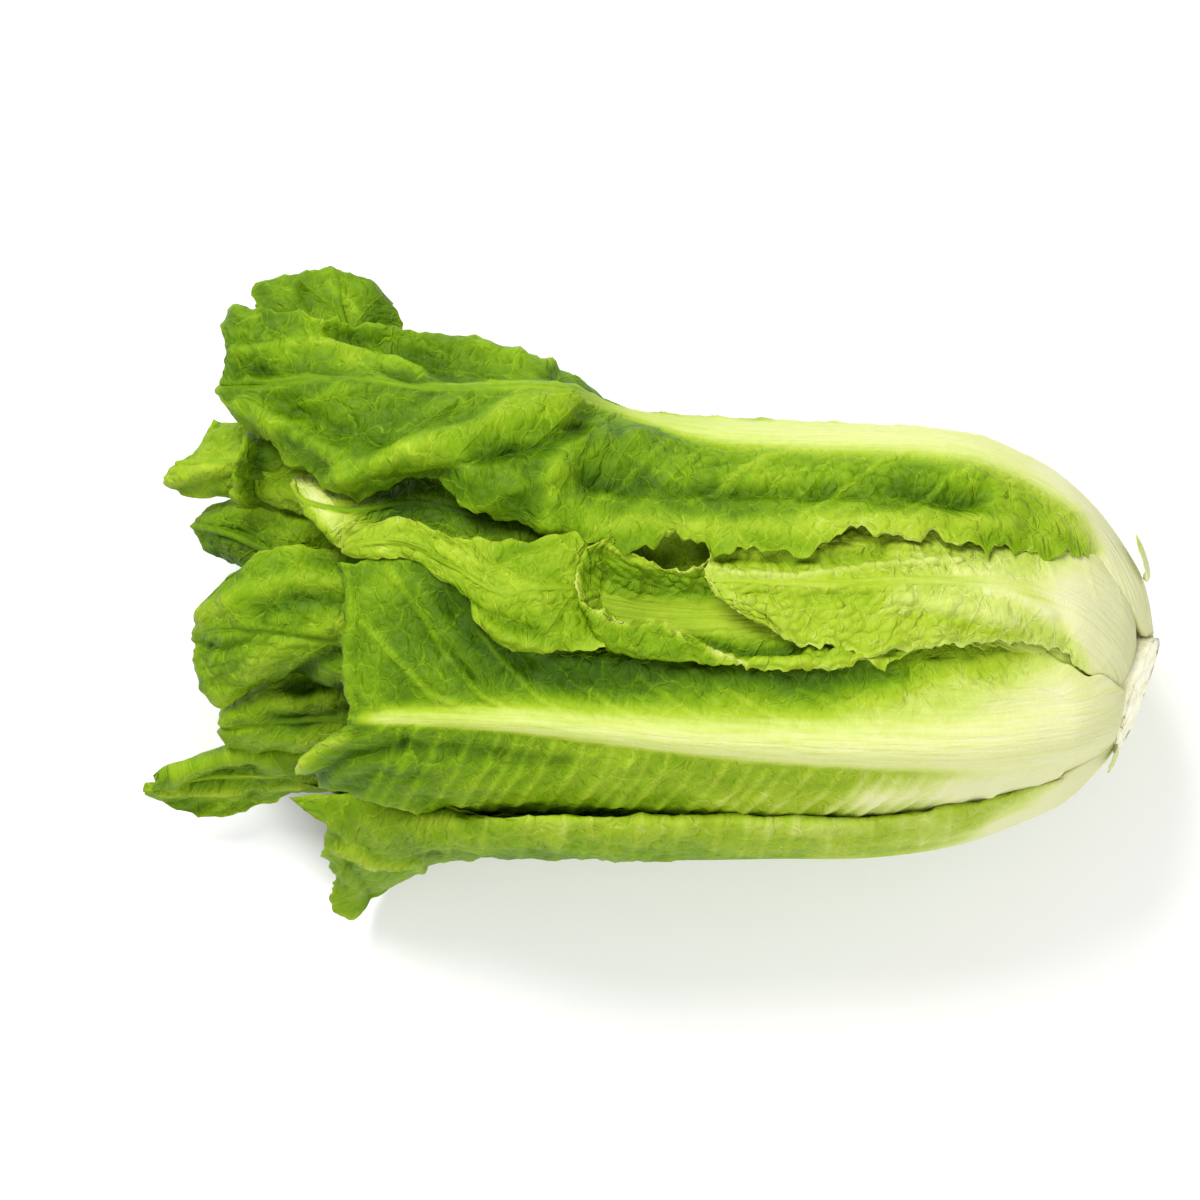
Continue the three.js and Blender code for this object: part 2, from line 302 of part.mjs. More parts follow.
    [[362,352,346,342,344,350,358], [236,224,212,200,188,178,168], [13,9,5,3,3,6,10]],
    [[296,280,268,262,264,272,286], [232,222,211,200,190,181,173], [17,12,7,4,4,8,13]],
    [[262,244,230,222,226,236,252], [227,218,209,200,192,184,178], [21,16,10,6,6,11,17]],
  ] },
  { name: "heart_1", kind: "heart", rib: [1.2, 5.0], floor: 0, auto: [430, -86, 62, 26] },
  { name: "heart_2", kind: "heart", rib: [1.2, 5.0], floor: 0, auto: [418, 124, 66, 24] },
  { name: "heart_3", kind: "heart", rib: [1.2, 5.0], floor: 0, auto: [452, 18, 66, 29] },
  { name: "heart_4", kind: "heart", rib: [1.2, 5.0], floor: 0, auto: [444, -150, 68, 31.5] },
  { name: "heart_5", kind: "heart", rib: [1.2, 4.0], floor: 0, auto: [474, 84, 70, 34.5] },
  { name: "heart_6", kind: "heart", rib: [1.2, 4.0], floor: 0, auto: [492, -48, 74, 37.5] },
  { name: "heart_7", kind: "heart", rib: [1.2, 4.0], floor: 0, auto: [520, 170, 80, 41] },
  { name: "heart_8", kind: "heart", rib: [1.2, 3.0], floor: 0, auto: [548, 40, 84, 44.5] },
  { name: "leaf_stub_1", kind: "stub", rib: [0.6, 3.0], floor: 0, rows: [
    [9, [93,89.5,86,82,78,74,70], -0.5],
    [14, [95,91,87,82,77,72.5,68], -1.2],
    [20, [94,90.5,86.5,82,77,72.5,68.5], -1.6],
    [[25,27,28,28,28,27,25], [91,88,85,82,78,75,72], -1.9],
  ] },
  { name: "leaf_stub_2", kind: "stub", rib: [0.6, 3.0], floor: 0, rows: [
    [3, [-56,-59,-62,-65,-68,-71,-74], -0.6],
    [8, [-55,-58.5,-62,-65.5,-69,-72,-75], -1.0],
    [12, [-56,-59.5,-62.5,-65.5,-69,-72,-75], -1.2],
    [[14,16,17,15,17,16,14], [-58,-61,-63.5,-66,-69,-71.5,-73.5], -1.4],
  ] },
];

const rad = (d) => (d * Math.PI) / 180;

function keyed(keys, x) {
  if (x <= keys[0][0]) return keys[0][1];
  for (let i = 1; i < keys.length; i++)
    if (x <= keys[i][0]) {
      const t = (x - keys[i - 1][0]) / (keys[i][0] - keys[i - 1][0]);
      return keys[i - 1][1] + t * (keys[i][1] - keys[i - 1][1]);
    }
  return keys[keys.length - 1][1];
}

// Centre and radius of the stem at table x.
function stemAt(px) {
  const t = Math.min(Math.max((px - CORE.inner) / (CORE.cut - CORE.inner), 0), 1);
  return {
    y: -(CORE.y1 - GRID_Y0) * t * GRID,
    z: AXIS_Z + (CORE.z1 - AXIS_Z) * t,
    r: CORE.r0 + (CORE.r1 - CORE.r0) * t,
  };
}

// Table x where a layer meets the stem, which leans like the cut face.
const noseAt = (angle, depth) => CORE.cut + CORE.leanY * Math.sin(rad(angle)) - CORE.leanZ * Math.cos(rad(angle)) - NOSE_STEP * depth;

// Ellipse that a layer at that depth follows at table x, and how far it has
// opened from the stem (0) to the full body (1).
function layer(px, depth, angle) {
  const t = Math.min(Math.max((noseAt(angle, depth) - px) / (NOSE * (1 - depth / 85)), 0), 1);
  const g = Math.sqrt(1 - (1 - t) * (1 - t));
  const s = stemAt(px);
  return {
    cy: (1 - g) * s.y,
    cz: (1 - g) * s.z + g * AXIS_Z,
    ry: (1 - g) * (s.r + 0.6) + g * (keyed(HALF_WIDTH, px) - depth),
    rz: (1 - g) * (s.r + 0.6) + g * (keyed(HALF_HEIGHT, px) - depth),
  };
}

// A table entry as a point in millimetres. An x under 100 counts back from
// where the layer meets the stem.
function point(px, q, d) {
  if (Math.abs(q) <= 260) {
    const tx = px < 100 ? noseAt(q, d) - px : px;
    const l = layer(tx, d, q);
    return new THREE.Vector3((tx - GRID_X0) * GRID, l.cy + l.ry * Math.sin(rad(q)), l.cz + l.rz * Math.cos(rad(q)));
  }
  let z = d > 500 ? d - 1000 : 100;
  let x = 0, y = 0, q0 = 0;
  for (let i = 0; i < 4; i++) {
    const f = (EYE.z - z) / (EYE.z - EYE.plane);
    x = EYE.x + (px - 600) * GRID * f;
    y = EYE.y + (600 - q) * GRID * f;
    if (d > 500) break;
    const l = layer(GRID_X0 + x / GRID, d, q0);
    const s = Math.min(Math.max((y - l.cy) / l.ry, -0.985), 0.985);
    q0 = (Math.asin(s) * 180) / Math.PI;
    z = l.cz + l.rz * Math.sqrt(1 - s * s);
  }
  return new THREE.Vector3(x, y, z);
}

const seven = (v) => (Array.isArray(v) ? v : [v, v, v, v, v, v, v]);

// A heart leaf's rows, from its tip, angle, half width and depth.
function heartRows([tip, angle, half, depth]) {
  const base = CORE.cut - NOSE_STEP * depth - 45;
  const rows = [[0, 0.5, 0], [3, 0.62, 0], [14, 0.72, 0], [45, 0.84, 0]];
  for (const [t, w, lag] of [[0.16, 0.95, 0], [0.38, 1, 0], [0.6, 1, 0], [0.8, 0.95, 6], [0.93, 0.72, 16], [1, 0.32, 22]])
    rows.push([base + (tip - base) * t, w, lag]);
  return rows.map(([x, w, lag]) => {
    const px = [], q = [];
    for (let c = 0; c < 7; c++) {
      const e = (3 - c) / 3;
      px.push(x + lag * e * e);
      q.push(angle + half * w * e);
    }
    return [px, q, depth];
  });
}

function netOf(leaf) {
  const rows = leaf.rows || heartRows(leaf.auto);
  return rows.map(([px, q, d]) => {
    const a = seven(px), b = seven(q), e = seven(d);
    return a.map((_, c) => point(a[c], b[c], e[c]));
  });
}

function spline(p0, p1, p2, p3, t) {
  return new THREE.Vector3(...["x", "y", "z"].map((k) =>
    0.5 * (2 * p1[k] + (p2[k] - p0[k]) * t + (2 * p0[k] - 5 * p1[k] + 4 * p2[k] - p3[k]) * t * t + (3 * p1[k] - p0[k] - 3 * p2[k] + p3[k]) * t * t * t)));
}

function along(points, u) {
  const n = points.length - 1;
  const i = Math.min(Math.max(Math.floor(u), 0), n - 1);
  const at = (k) => k < 0 ? points[0].clone().multiplyScalar(2).sub(points[1]) : k > n ? points[n].clone().multiplyScalar(2).sub(points[n - 1]) : points[k];
  return spline(at(i - 1), at(i), at(i + 1), at(i + 2), u - i);
}

const surface = (net, u, v) => along(net.map((row) => along(row, v)), u);

// Closed sheet through the leaf's net, thicker along the midrib on its outer face.
function sheet(leaf, extra) {
  const net = netOf(leaf);
  const last = net.length - 1;
  const us = net.map((_, i) => i);
  const vs = leaf.cols;
  const grid = us.map((u) => vs.map((v) => {
    const e = 0.02;
    const p = surface(net, u, v);
    const du = surface(net, Math.min(u + e, last), v).sub(surface(net, Math.max(u - e, 0), v));
    const dv = surface(net, u, Math.min(v + e, 6)).sub(surface(net, u, Math.max(v - e, 0)));
    const n = du.clone().cross(dv).normalize();
    const t = u / last;
    const mid = surface(net, u, 3);
    const width = leaf.rib[1] * (1 - 0.72 * t);
    const off = Math.min(p.distanceTo(mid) / width, 1);
    const rib = leaf.rib[0] * Math.pow(1 - t, 1.3) * Math.pow(1 - off * off, 2) * Math.min(1, 0.35 + 4 * t);
    if (extra) {
      if (u === 0) p.addScaledVector(du.normalize(), -extra);
      if (u === last) p.addScaledVector(du.normalize(), extra);
      if (v === 0) p.addScaledVector(dv.normalize(), -extra);
      if (v === 6) p.addScaledVector(dv.normalize(), extra);
    }
    const out = p.clone().addScaledVector(n, BLADE / 2 + 0.6 * rib + extra);
    const inn = p.clone().addScaledVector(n, -BLADE / 2 - 0.4 * rib - extra);
    return [out, inn];
  }));
  const U = us.length, V = vs.length;
  const pos = [], index = [];
  for (const side of [0, 1])
    for (let i = 0; i < U; i++)
      for (let j = 0; j < V; j++) {
        const p = grid[i][j][side];
        const under = side === (grid[i][j][0].z < grid[i][j][1].z ? 0 : 1);
        const low = leaf.floor + (under ? -extra : BLADE * 0.8 + extra);
        pos.push(p.x, p.y, Math.max(p.z, low));
      }
  const id = (side, i, j) => side * U * V + i * V + j;
  const quad = (a, b, c, d) => index.push(a, b, c, a, c, d);
  for (let i = 0; i < U - 1; i++)
    for (let j = 0; j < V - 1; j++) {
      quad(id(0, i, j), id(0, i + 1, j), id(0, i + 1, j + 1), id(0, i, j + 1));
      quad(id(1, i, j), id(1, i, j + 1), id(1, i + 1, j + 1), id(1, i + 1, j));
    }
  for (let i = 0; i < U - 1; i++) {
    quad(id(0, i, 0), id(1, i, 0), id(1, i + 1, 0), id(0, i + 1, 0));
    quad(id(0, i, V - 1), id(0, i + 1, V - 1), id(1, i + 1, V - 1), id(1, i, V - 1));
  }
  for (let j = 0; j < V - 1; j++) {
    quad(id(0, 0, j), id(0, 0, j + 1), id(1, 0, j + 1), id(1, 0, j));
    quad(id(0, U - 1, j), id(1, U - 1, j), id(1, U - 1, j + 1), id(0, U - 1, j + 1));
  }
  const g = new THREE.BufferGeometry();
  g.setAttribute("position", new THREE.BufferAttribute(new Float32Array(pos), 3));
  g.setIndex(index);
  return g;
}

// Stem: a tapered, slightly bent plug with a flat cut face at its outer end.
function stemGeometry(grow) {
  const ringN = 18, steps = 9;
  const pos = [], index = [];
  const x0 = CORE.inner - 14, x1 = CORE.cut + 2;
  for (let i = 0; i <= steps; i++) {
    const t = i / steps;
    const px = x0 + (x1 - x0) * t;
    const s = stemAt(px);
    const r = (t < 0.001 ? s.r * 0.55 : i === steps ? s.r * 0.93 : s.r) + grow - 0.35;
    for (let k = 0; k < ringN; k++) {
      const a = (2 * Math.PI * k) / ringN;
      const wob = 1 + 0.035 * Math.sin(3 * a + 0.7) + 0.02 * Math.sin(5 * a + 2);
      const dy = Math.sin(a) * r * wob, dz = Math.cos(a) * r * wob;
      // the rings lean more and more, up to the slant of the cut face
      const lean = t * GRID * (CORE.leanY * dy - CORE.leanZ * dz) / CORE.r1;
      pos.push((px - GRID_X0) * GRID + lean, s.y + dy, s.z + dz);
    }
  }
  const n = pos.length / 3;
  const a = stemAt(x0), b = stemAt(x1);
  pos.push((x0 - 6 - GRID_X0) * GRID, a.y, a.z, (x1 - GRID_X0) * GRID, b.y, b.z);
  for (let i = 0; i < steps; i++)
    for (let k = 0; k < ringN; k++) {
      const p = i * ringN + k, q = i * ringN + ((k + 1) % ringN);
      index.push(p, p + ringN, q + ringN, p, q + ringN, q);
    }
  for (let k = 0; k < ringN; k++) {
    index.push(n, k, (k + 1) % ringN);
    index.push(n + 1, steps * ringN + ((k + 1) % ringN), steps * ringN + k);
  }
  const g = new THREE.BufferGeometry();
  g.setAttribute("position", new THREE.BufferAttribute(new Float32Array(pos), 3));
  g.setIndex(index);
  return g;
}

const wasm = await Module();
wasm.setup();

function solid(geometry, weld = 1e-4) {
  const g = geometry.index ? geometry.toNonIndexed() : geometry;
  const bare = new THREE.BufferGeometry().setAttribute("position", g.getAttribute("position"));
  const merged = mergeVertices(bare, weld);
  const made = new wasm.Manifold(new wasm.Mesh({
    numProp: 3,
    vertProperties: merged.attributes.position.array,
    triVerts: new Uint32Array(merged.index.array),
  }));
  return made;
}

function geometryOf(manifold) {
  const m = manifold.getMesh();
  const v = new Float32Array(m.numVert * 3);
  for (let i = 0; i < m.numVert; i++) v.set(m.vertProperties.subarray(i * m.numProp, i * m.numProp + 3), i * 3);
  const g = new THREE.BufferGeometry();
  g.setAttribute("position", new THREE.BufferAttribute(v, 3));
  g.setIndex(new THREE.BufferAttribute(new Uint32Array(m.triVerts), 1));
  return g;
}

// The largest body, with its vertices welded the way that a mesh is.
function largest(manifold) {
  let m = manifold;
  for (let i = 0; i < 3; i++) {
    m = solid(geometryOf(m), 1e-3);
    const parts = m.decompose();
    if (parts.length === 1) break;
    m = parts.sort((a, b) => b.volume() - a.volume())[0];
  }
  return m;
}

// The largest body of a sheet, without needless small triangles.
function trimmed(manifold, tolerance) {
  const parts = manifold.decompose().sort((a, b) => b.volume() - a.volume());
  return largest(parts[0].simplify(tolerance));
}

const WIDE = [0, 0.6, 1.2, 1.8, 2.35, 2.7, 3, 3.3, 3.65, 4.2, 4.8, 5.4, 6];
const NARROW = [0, 1, 2, 2.65, 3, 3.35, 4, 5, 6];
const FEW = [0, 1.1, 2.2, 3, 3.8, 4.9, 6];
const COLOURS = { outer: 0x8fbf3f, inner: 0x7fae35, heart: 0xcfe07a, stub: 0xe3e6b0, stem: 0xf2f0cf };

const CLEAR = [[0.2, 0, 0], [-0.2, 0, 0], [0, 0.2, 0], [0, -0.2, 0], [0, 0, 0.2], [0, 0, -0.2]];

// Leaves are cut clear of those before them in the table and of the stem.
const made = [];
const stemSolid = solid(stemGeometry(0));
made.push({ name: "stem", solid: stemSolid, grown: solid(stemGeometry(GAP)), kind: "stem" });
for (const leaf of LEAVES) {
  leaf.cols = leaf.wide ? WIDE : leaf.kind === "outer" ? NARROW : FEW;
  let s = solid(sheet(leaf, 0));
  const grown = solid(sheet(leaf, GAP));
  for (const other of made) {
    if (s.intersect(other.grown).volume() > 0.001) s = s.subtract(other.grown);
  }
  let kept = trimmed(s, 0.1);
  for (let i = 0; i < 2; i++) {
    const touching = made.filter((other) => kept.intersect(other.solid).volume() > 1e-3);
    if (!touching.length) break;
    for (const other of touching) for (const d of CLEAR) s = s.subtract(other.solid.translate(d));
    kept = trimmed(s, 0.02);
  }
  made.push({ name: leaf.name, solid: kept, grown, kind: leaf.kind });
}

const head = new THREE.Group();
head.name = "romaine_head";
for (const { name, solid: s, kind } of made) {
  const material = new THREE.MeshStandardMaterial({ color: COLOURS[kind], roughness: kind === "stem" ? 0.6 : 0.45, metalness: 0 });
  const mesh = new THREE.Mesh(geometryOf(s), material);
  mesh.name = name;
  mesh.position.set(...SHIFT);
  head.add(mesh);
}

export default head;
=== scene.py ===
"""A head of romaine lettuce lying on its side: a cut stem with ribbed, veined and ruffled leaves clasped round it.

Lengths are in millimetres until the last step, which makes them metres. The head lies along X, cut stem towards +X,
with the surface that it rests on at Z = 0.
"""

import math

import bpy
import numpy as np
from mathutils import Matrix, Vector


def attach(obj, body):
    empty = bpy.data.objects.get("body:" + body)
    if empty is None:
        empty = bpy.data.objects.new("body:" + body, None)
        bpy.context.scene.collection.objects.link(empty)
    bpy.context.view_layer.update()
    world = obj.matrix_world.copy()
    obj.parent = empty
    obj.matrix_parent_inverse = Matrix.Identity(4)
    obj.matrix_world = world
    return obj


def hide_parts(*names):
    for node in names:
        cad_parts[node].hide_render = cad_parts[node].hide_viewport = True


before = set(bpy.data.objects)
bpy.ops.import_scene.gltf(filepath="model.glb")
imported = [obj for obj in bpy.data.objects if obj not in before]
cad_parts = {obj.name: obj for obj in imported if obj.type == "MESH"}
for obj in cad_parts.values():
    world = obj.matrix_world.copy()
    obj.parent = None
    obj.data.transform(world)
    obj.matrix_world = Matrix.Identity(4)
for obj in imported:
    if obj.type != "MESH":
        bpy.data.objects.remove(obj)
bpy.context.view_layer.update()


FINE = 1.0  # share of the full mesh resolution

# ---------------------------------------------------------------- the head's shape
GRID, GRID_X0, GRID_Y0 = 0.3, 650.0, 636.0
EYE = (-15.0, 10.8, 1500.0, 57.0)
AXIS_Z = 56.0
HALF_WIDTH = ((200, 74), (300, 74), (400, 72), (500, 70), (600, 68), (700, 67), (850, 66), (1200, 66))
HALF_HEIGHT = ((200, 56), (400, 58), (700, 59), (1200, 59))
CORE = dict(inner=920.0, cut=1138.0, y1=690.0, z1=60.0, r0=7.5, r1=16.5, lean_y=19.0, lean_z=13.0)
NOSE, NOSE_STEP = 260.0, 4.0
SHIFT = np.array([1.035, -12.055, 0])

# Each row of a leaf runs across it: x, y or an angle round the axis, and depth under the outside of the head.
LEAVES = [
    {"name": "leaf_top", "wide": 1, "kind": "outer", "rib": [5.5, 15.0], "floor": 0, "rows": [
        (0, [126,112,101,92,85,78,70], [1.3,1.7,2.1,2.3,1.2,1.6,2.0]),
        (3, [130,114,98,82,70,60,52], [1.1,1.5,1.9,2.1,1.2,1.8,2.4]),
        (14, [134,118,96,75,62,52,45], [1,1.4,1.8,2,1.4,2.0,2.8]),
        (45, [138,120,94.0,74,61,51,44], [1,1.4,1.8,2,1.4,2.0,2.8]),
        (1050, [146,126,96.5,74,55,45,32], [1,1.4,1.8,2,1.4,1.8,2.4]),
        (970, [150,129,97.5,73,54,41,26], [1,1.4,1.8,2,1.4,1.6,2.0]),
        (880, [152,130,97.5,72.5,53,41,26], [1,1.4,1.8,2,1.6,1.3,1.2]),
        (790, [150,129,97.0,72.5,53,41,22], [1,1.4,1.8,2,1.6,1.3,1.2]),
        (700, [146,126,96.0,73,54,40,22], [1,1.4,0.8,1,1.6,0,1.2]),
        (625, [120,104,88.0,77,60,41,23], [2,1.4,-0.2,-1,-1.4,-1.8,0.6]),
        ([566,564,562,560,558,556,560], [365,373,381,389,430,485,542], [1066,1072,1080,1089,1101,1106,1103.5]),
        ([490,490,490,490,488,486,490], [339,356,373,388,425,468,513], [1066,1072,1081,1091,1102,1108,1102]),
        ([421,420,420,420,418,416,420], [331,350,371,388,418,450,484], [1070,1075,1082,1091,1099,1106,1101]),
        ([352,349,347,346,345,346,350], [324,343,362,378,418,460,500], [1072,1075,1081,1090,1094,1100,1094]),
        ([291,288,286,286,286,288,292], [312,335,360,384,409,435,462], [1072,1075,1080,1085,1087,1090,1086]),
        ([243,236,234,234,238,246,258], [305,326,350,386,400,412,430], [1069,1073,1076,1079,1081,1083,1082]),
        ([231,222,222,221,225,231,240], [312,328,350,385,396,409,424], [1065,1070,1073,1076,1077,1079,1079]),
    ]},
    {"name": "leaf_front", "wide": 1, "kind": "outer", "rib": [5.0, 13.0], "floor": 0, "rows": [
        (0, [-13.8,-19.4,-25.8,-33,-41,-49,-57.8], 1),
        (3, [-9,-16,-24,-33,-43,-53,-64], 1),
        (14, [-10,-16,-24,-33,-43.4,-53.8,-65.2], [1.4,1,0.8,0.6,0.8,1.6,2.4]),
        (45, [-11,-16.4,-24,-33,-44,-55,-67], [2,1,0.5,0,0.6,2.5,4.5]),
        (1045, [658,683,-21,-33,-45,-60,-68], [4.5,3,1.5,0,1.0,2.8,8.5]),
        (970, [641,671,-18,-32,-46,800,808], [6.5,4.5,2.5,0.3,1.6,4.2,13.5]),
        (870, [651,678,712,748,784,813,822], [6.5,4.2,2.5,0.5,2.5,4.6,15.5]),
        (780, [657,682,712,745,782,814,824], [6.5,4.2,2.5,0.8,2.6,4.6,15.5]),
        (690, [655,680,708,739,777,811,822], [6.5,4.3,3.0,1.0,3.0,4.8,15.5]),
        (600, [646,670,699,730,770,806,819], [7,5,4.0,1.8,3.6,5.4,16]),
        (520, [636,663,690,722,763,802,816], [7,5.5,5,2.5,4.5,6.4,16.5]),
        (455, [569,620,668,719,755,796,813], [7,6.5,6.2,4,5.5,8.2,17]),
        ([402,402,402,402,398,396,398], [558,606,660,718,748,780,807], [8,8,7.5,5.5,7.5,10,14]),
        ([352,356,358,362,346,330,336], [562,604,655,719,738,765,792], [11,11,10.5,9,14,17,21]),
        ([338,343,341,347,325,297,318], [562,604,660,719,738,768,789], [14,13,13,12.5,20,24,27]),
    ]},
    {"name": "leaf_bottom", "wide": 1, "kind": "outer", "rib": [5.0, 14.0], "floor": 1.5, "rows": [
        (0, [-67.4,-78.6,-91.4,-105,-120.2,-134.6,-149], [0.3,0.9,1.5,1.9,1.3,0.8,0.3]),
        (3, [-58,-72,-88,-105,-124,-142,-160], [0.3,0.9,1.5,1.9,1.3,0.8,0.3]),
        (14, [-58,-72.4,-89.6,-107.8,-128,-146.8,-164.8], [1.6,1.8,2.2,2.2,1.6,1.1,0.6]),
        (45, [-58.5,-62.5,-76,-98,-126,-150,-172], [2.2,1.4,1.2,1.2,1.8,1.5,1]),
        (1040, [-63,-60,-75,-97,-128,-154,-178], [3.8,1.6,0.8,1.0,1.8,1.5,1]),
        (960, [-64.5,-56.5,-71,-95,-126,-151,-175], [7,1.4,0.2,0.4,1.4,1.5,1]),
        (870, [-66,-56.5,-71,-95,-126,-151,-175], [8,0.9,0.2,0.4,1.4,1.5,1]),
        (780, [-66,-56,-70.5,-95,-126,-151,-175], [8,0.9,0.2,0.4,1.4,1.5,1]),
        (690, [-65.5,-54.6,-70,-95,-126,-151,-175], [8,0.9,0.2,0.4,1.4,1.5,1]),
        (600, [-64,-52.6,-69,-95,-126,-151,-175], [8,0.9,0.2,1.6,2.4,1.5,1]),
        (520, [-62.5,-50.8,-67.5,-95,-126,-151,-175], [8,1.2,1.4,3.4,4.4,1.5,1]),
        ([454,455,456,458,462,466,470], [806,821,842,857,-128,-146,-162], [1068,1077,1068,1046,2.5,2,2]),
        ([400,400,402,404,420,440,452], [799,820,850,872,866,846,820], [1062,1070,1056,1035,1019,1009,1004]),
        ([346,348,350,356,376,404,424], [795,822,864,890,890,868,836], [1056,1058,1042,1023,1011,1005,1003]),
        ([291,320,328,330,344,364,390], [797,826,862,893,918,904,872], [1048,1050,1036,1021,1010,1005,1003]),
    ]},
    {"name": "leaf_under", "wide": 1, "kind": "outer", "rib": [5.0, 13.0], "floor": 0, "rows": [
        (0, [207.8,198.2,188.6,179,169.4,159.8,150.2], 0.8),
        (3, [215,203,191,179,167,155,143], 0.8),
        (14, [220.2,206.6,192.6,179,165.4,151.4,138.6], [0.7,0.5,0.3,0.1,0.3,0.5,0.7]),
        (45, [228,212,195,179,163,146,132], [0.6,0,-0.5,-1,-0.5,0,0.6]),
        (1030, [236,217,198,179,160,141,123], [-0.6,-1,-1,-1,-1,-1,-0.6]),
        (930, [240,220,200,180,160,139,119], [-1,-1,-1,-1,-1,-1,-1]),
        (820, [240,220,200,180,160,139,119], [-1,-1,-1,-1,-1,-1,-1]),
        (700, [240,220,200,181,161,140,120], [-1,-1,-1,-1,-1,-1,-1]),
        (590, [238,220,202,183,163,143,124], [-1,-1,-1,-1,-1,-1,-1]),
        (490, [236,220,204,185,166,148,131], [1,0,-1,-1,-1,0,1]),
        ([400,396,392,388,392,398,404], [232,218,203,186,170,154,140], [8,4,0,-1,0,4,8]),
        ([320,308,300,296,300,310,322], [222,212,200,187,175,164,154], [11,7,2,-1,2,7,11]),
        ([262,244,232,226,232,246,266], [212,204,197,188,180,173,166], [14,9,3,-1,3,9,14]),
    ]},
    {"name": "leaf_back", "wide": 1, "kind": "outer", "rib": [2.0, 12.0], "floor": 1.5, "rows": [
        (0, [168.2,157.8,147.4,137,126.6,117,107.4], [2.6,3.2,4.0,4.8,5.2,5.6,6.0]),
        (3, [176,163,150,137,124,112,100], [2.6,3.2,4.0,4.8,5.2,5.6,6.0]),
        (14, [176.4,165,151.2,137,122.8,109.6,96.8], [2.6,3.2,4.0,4.8,5.2,5.6,6.0]),
        (45, [177,168,153,137,121,106,92], [2.6,3.2,4.0,4.8,5.2,5.6,6.0]),
        (1020, [177,170,153,136,118,101,84], [2.6,3.2,4.0,4.8,5.2,5.6,6.0]),
        (920, [177,169,151,133,114,96,78], [2.6,3.2,4.0,4.8,5.2,5.6,6.0]),
        (810, [177,166,148,129,110,91,73], [2.6,3.2,4.0,4.8,5.2,5.6,6.0]),
        (700, [176,159,141,123,104,86,69], [2.6,3.2,4.0,4.8,5.2,5.6,6.0]),
        (600, [160,145,130,114,98,82,66], [3,3.0,3.2,3.2,3.4,4.4,5.4]),
        ([520,522,524,526,528,530,536], [150,136,122,108,94,366,384], [3,2,1,-1,-4,1062,1069]),
        ([440,444,448,452,456,460,470], [146,132,118,104,352,336,362], [6,3,1,0,1046,1055,1060]),
        ([372,376,380,384,388,392,400], [142,130,118,106,360,342,356], [10,7,3,1,1046,1056,1060]),
        ([336,332,332,334,340,348,358], [136,128,118,108,372,352,362], [15,12,8,5,1044,1050,1054]),
    ]},
    {"name": "leaf_short_front", "kind": "outer", "rib": [1.6, 9.0], "floor": 0, "rows": [
        (0, [68,50,32,12,5.6,-0.8,-7.2], [4.4,3.2,2.4,2.1,2.2,2.3,2.4]),
        (3, [68,50,32,12,4,-4,-12], [4.5,3.3,2.4,2.0,2.1,2.2,2.3]),
        (14, [68,50,32,13.2,5.2,-2.4,-9.6], [5.2,3.6,2.5,2.0,2.1,2.3,2.5]),
        (45, [68,50,32,15,7,0,-6], [6.6,4.3,2.8,1.8,2.0,2.4,3.0]),
        (1045, [68,50,32,16,9,3,-1], [7.4,5.0,3.3,2.2,2.4,2.8,3.4]),
        (980, [42,33,25,16,9,3,-1], [7.7,5.6,3.6,2.0,1.8,2.0,2.6]),
        (905, [41,32,24,15,8,1,-3.5], [7.7,5.6,3.6,1.8,1.4,1.6,2.2]),
        (840, [40,31,23,14,7,0,-4], [7.9,5.6,3.6,1.8,1.4,1.4,2.0]),
        ([785,780,778,776,780,786,792], [517,536,558,582,603,622,641], [3.6,3.2,2.6,2,1.8,1.8,2.4]),
        ([738,724,714,712,722,740,762], [531,545,560,579,598,610,621], [4,3.4,2.6,2.2,2.2,2.4,2.8]),
        ([722,712,706,705,716,733,750], [536,548,560,576,595,609,617], [4.2,3.6,2.8,2.4,2.4,2.6,3.0]),
    ]},
    {"name": "leaf_cup", "kind": "outer", "rib": [1.8, 7.0], "floor": 0, "rows": [
        (0, [11.8,6.2,0.6,-5,-9.8,-14.6,-20.2], [5.3,5.0,5.0,5.0,5.0,5.0,5.2]),
        (3, [16,9,2,-5,-11,-17,-24], [5.3,5.0,5.0,5.0,5.0,5.0,5.2]),
        (14, [16.8,9.8,2.4,-4.6,-10.2,-15.8,-22], [5.5,5.2,5.2,5.2,5.2,5.2,5.4]),
        (45, [18,11,3,-4,-9,-14,-19], [6.1,5.8,5.8,5.8,5.8,5.8,6.0]),
        (1000, [20,12,5,-1,-4,649,655], [7.5,7.2,7.2,7.2,7.2,7.2,7.4]),
        ([952,950,948,946,948,950,954], [22,14,607,617,627,635,643], [9,9.4,9.6,9.6,8.6,6.6,3.6]),
        ([892,890,888,886,888,890,893], [24,586,603,617,633,648,660], [9,10,10.6,10.6,8.8,5.2,3.4]),
        ([820,820,820,820,820,820,822], [570,586,603,619,637,655,670], [9,10,11,11.2,8.6,3.6,2.6]),
        ([765,765,765,765,762,760,758], [566,583,601,619,642,659,669], [7.6,9.4,11,11.6,7.4,2.6,2.0]),
        ([722,720,718,716,712,716,722], [562,580,599,619,648,665,656], [6.2,8.8,11,11.8,6.4,2.0,0.2]),
        ([680,676,670,664,664,668,680], [568,582,598,616,652,659,634], [3.6,7.4,10.5,11.6,5.6,1.0,-0.6]),
        ([645,638,630,624,626,634,652], [557,572,592,611,652,651,620], [1.6,5.6,9.4,10.8,5.2,0.6,-0.8]),
        ([617,606,598,594,599,608,627], [543,558,582,603,638,643,622], [0.4,4.4,8.6,9.6,5.4,1.0,-0.6]),
        ([606,590,579,575,577,588,604], [538,547,562,579,596,608,616], [-0.4,0.6,1.6,2.4,2.6,1.2,-0.4]),
    ]},
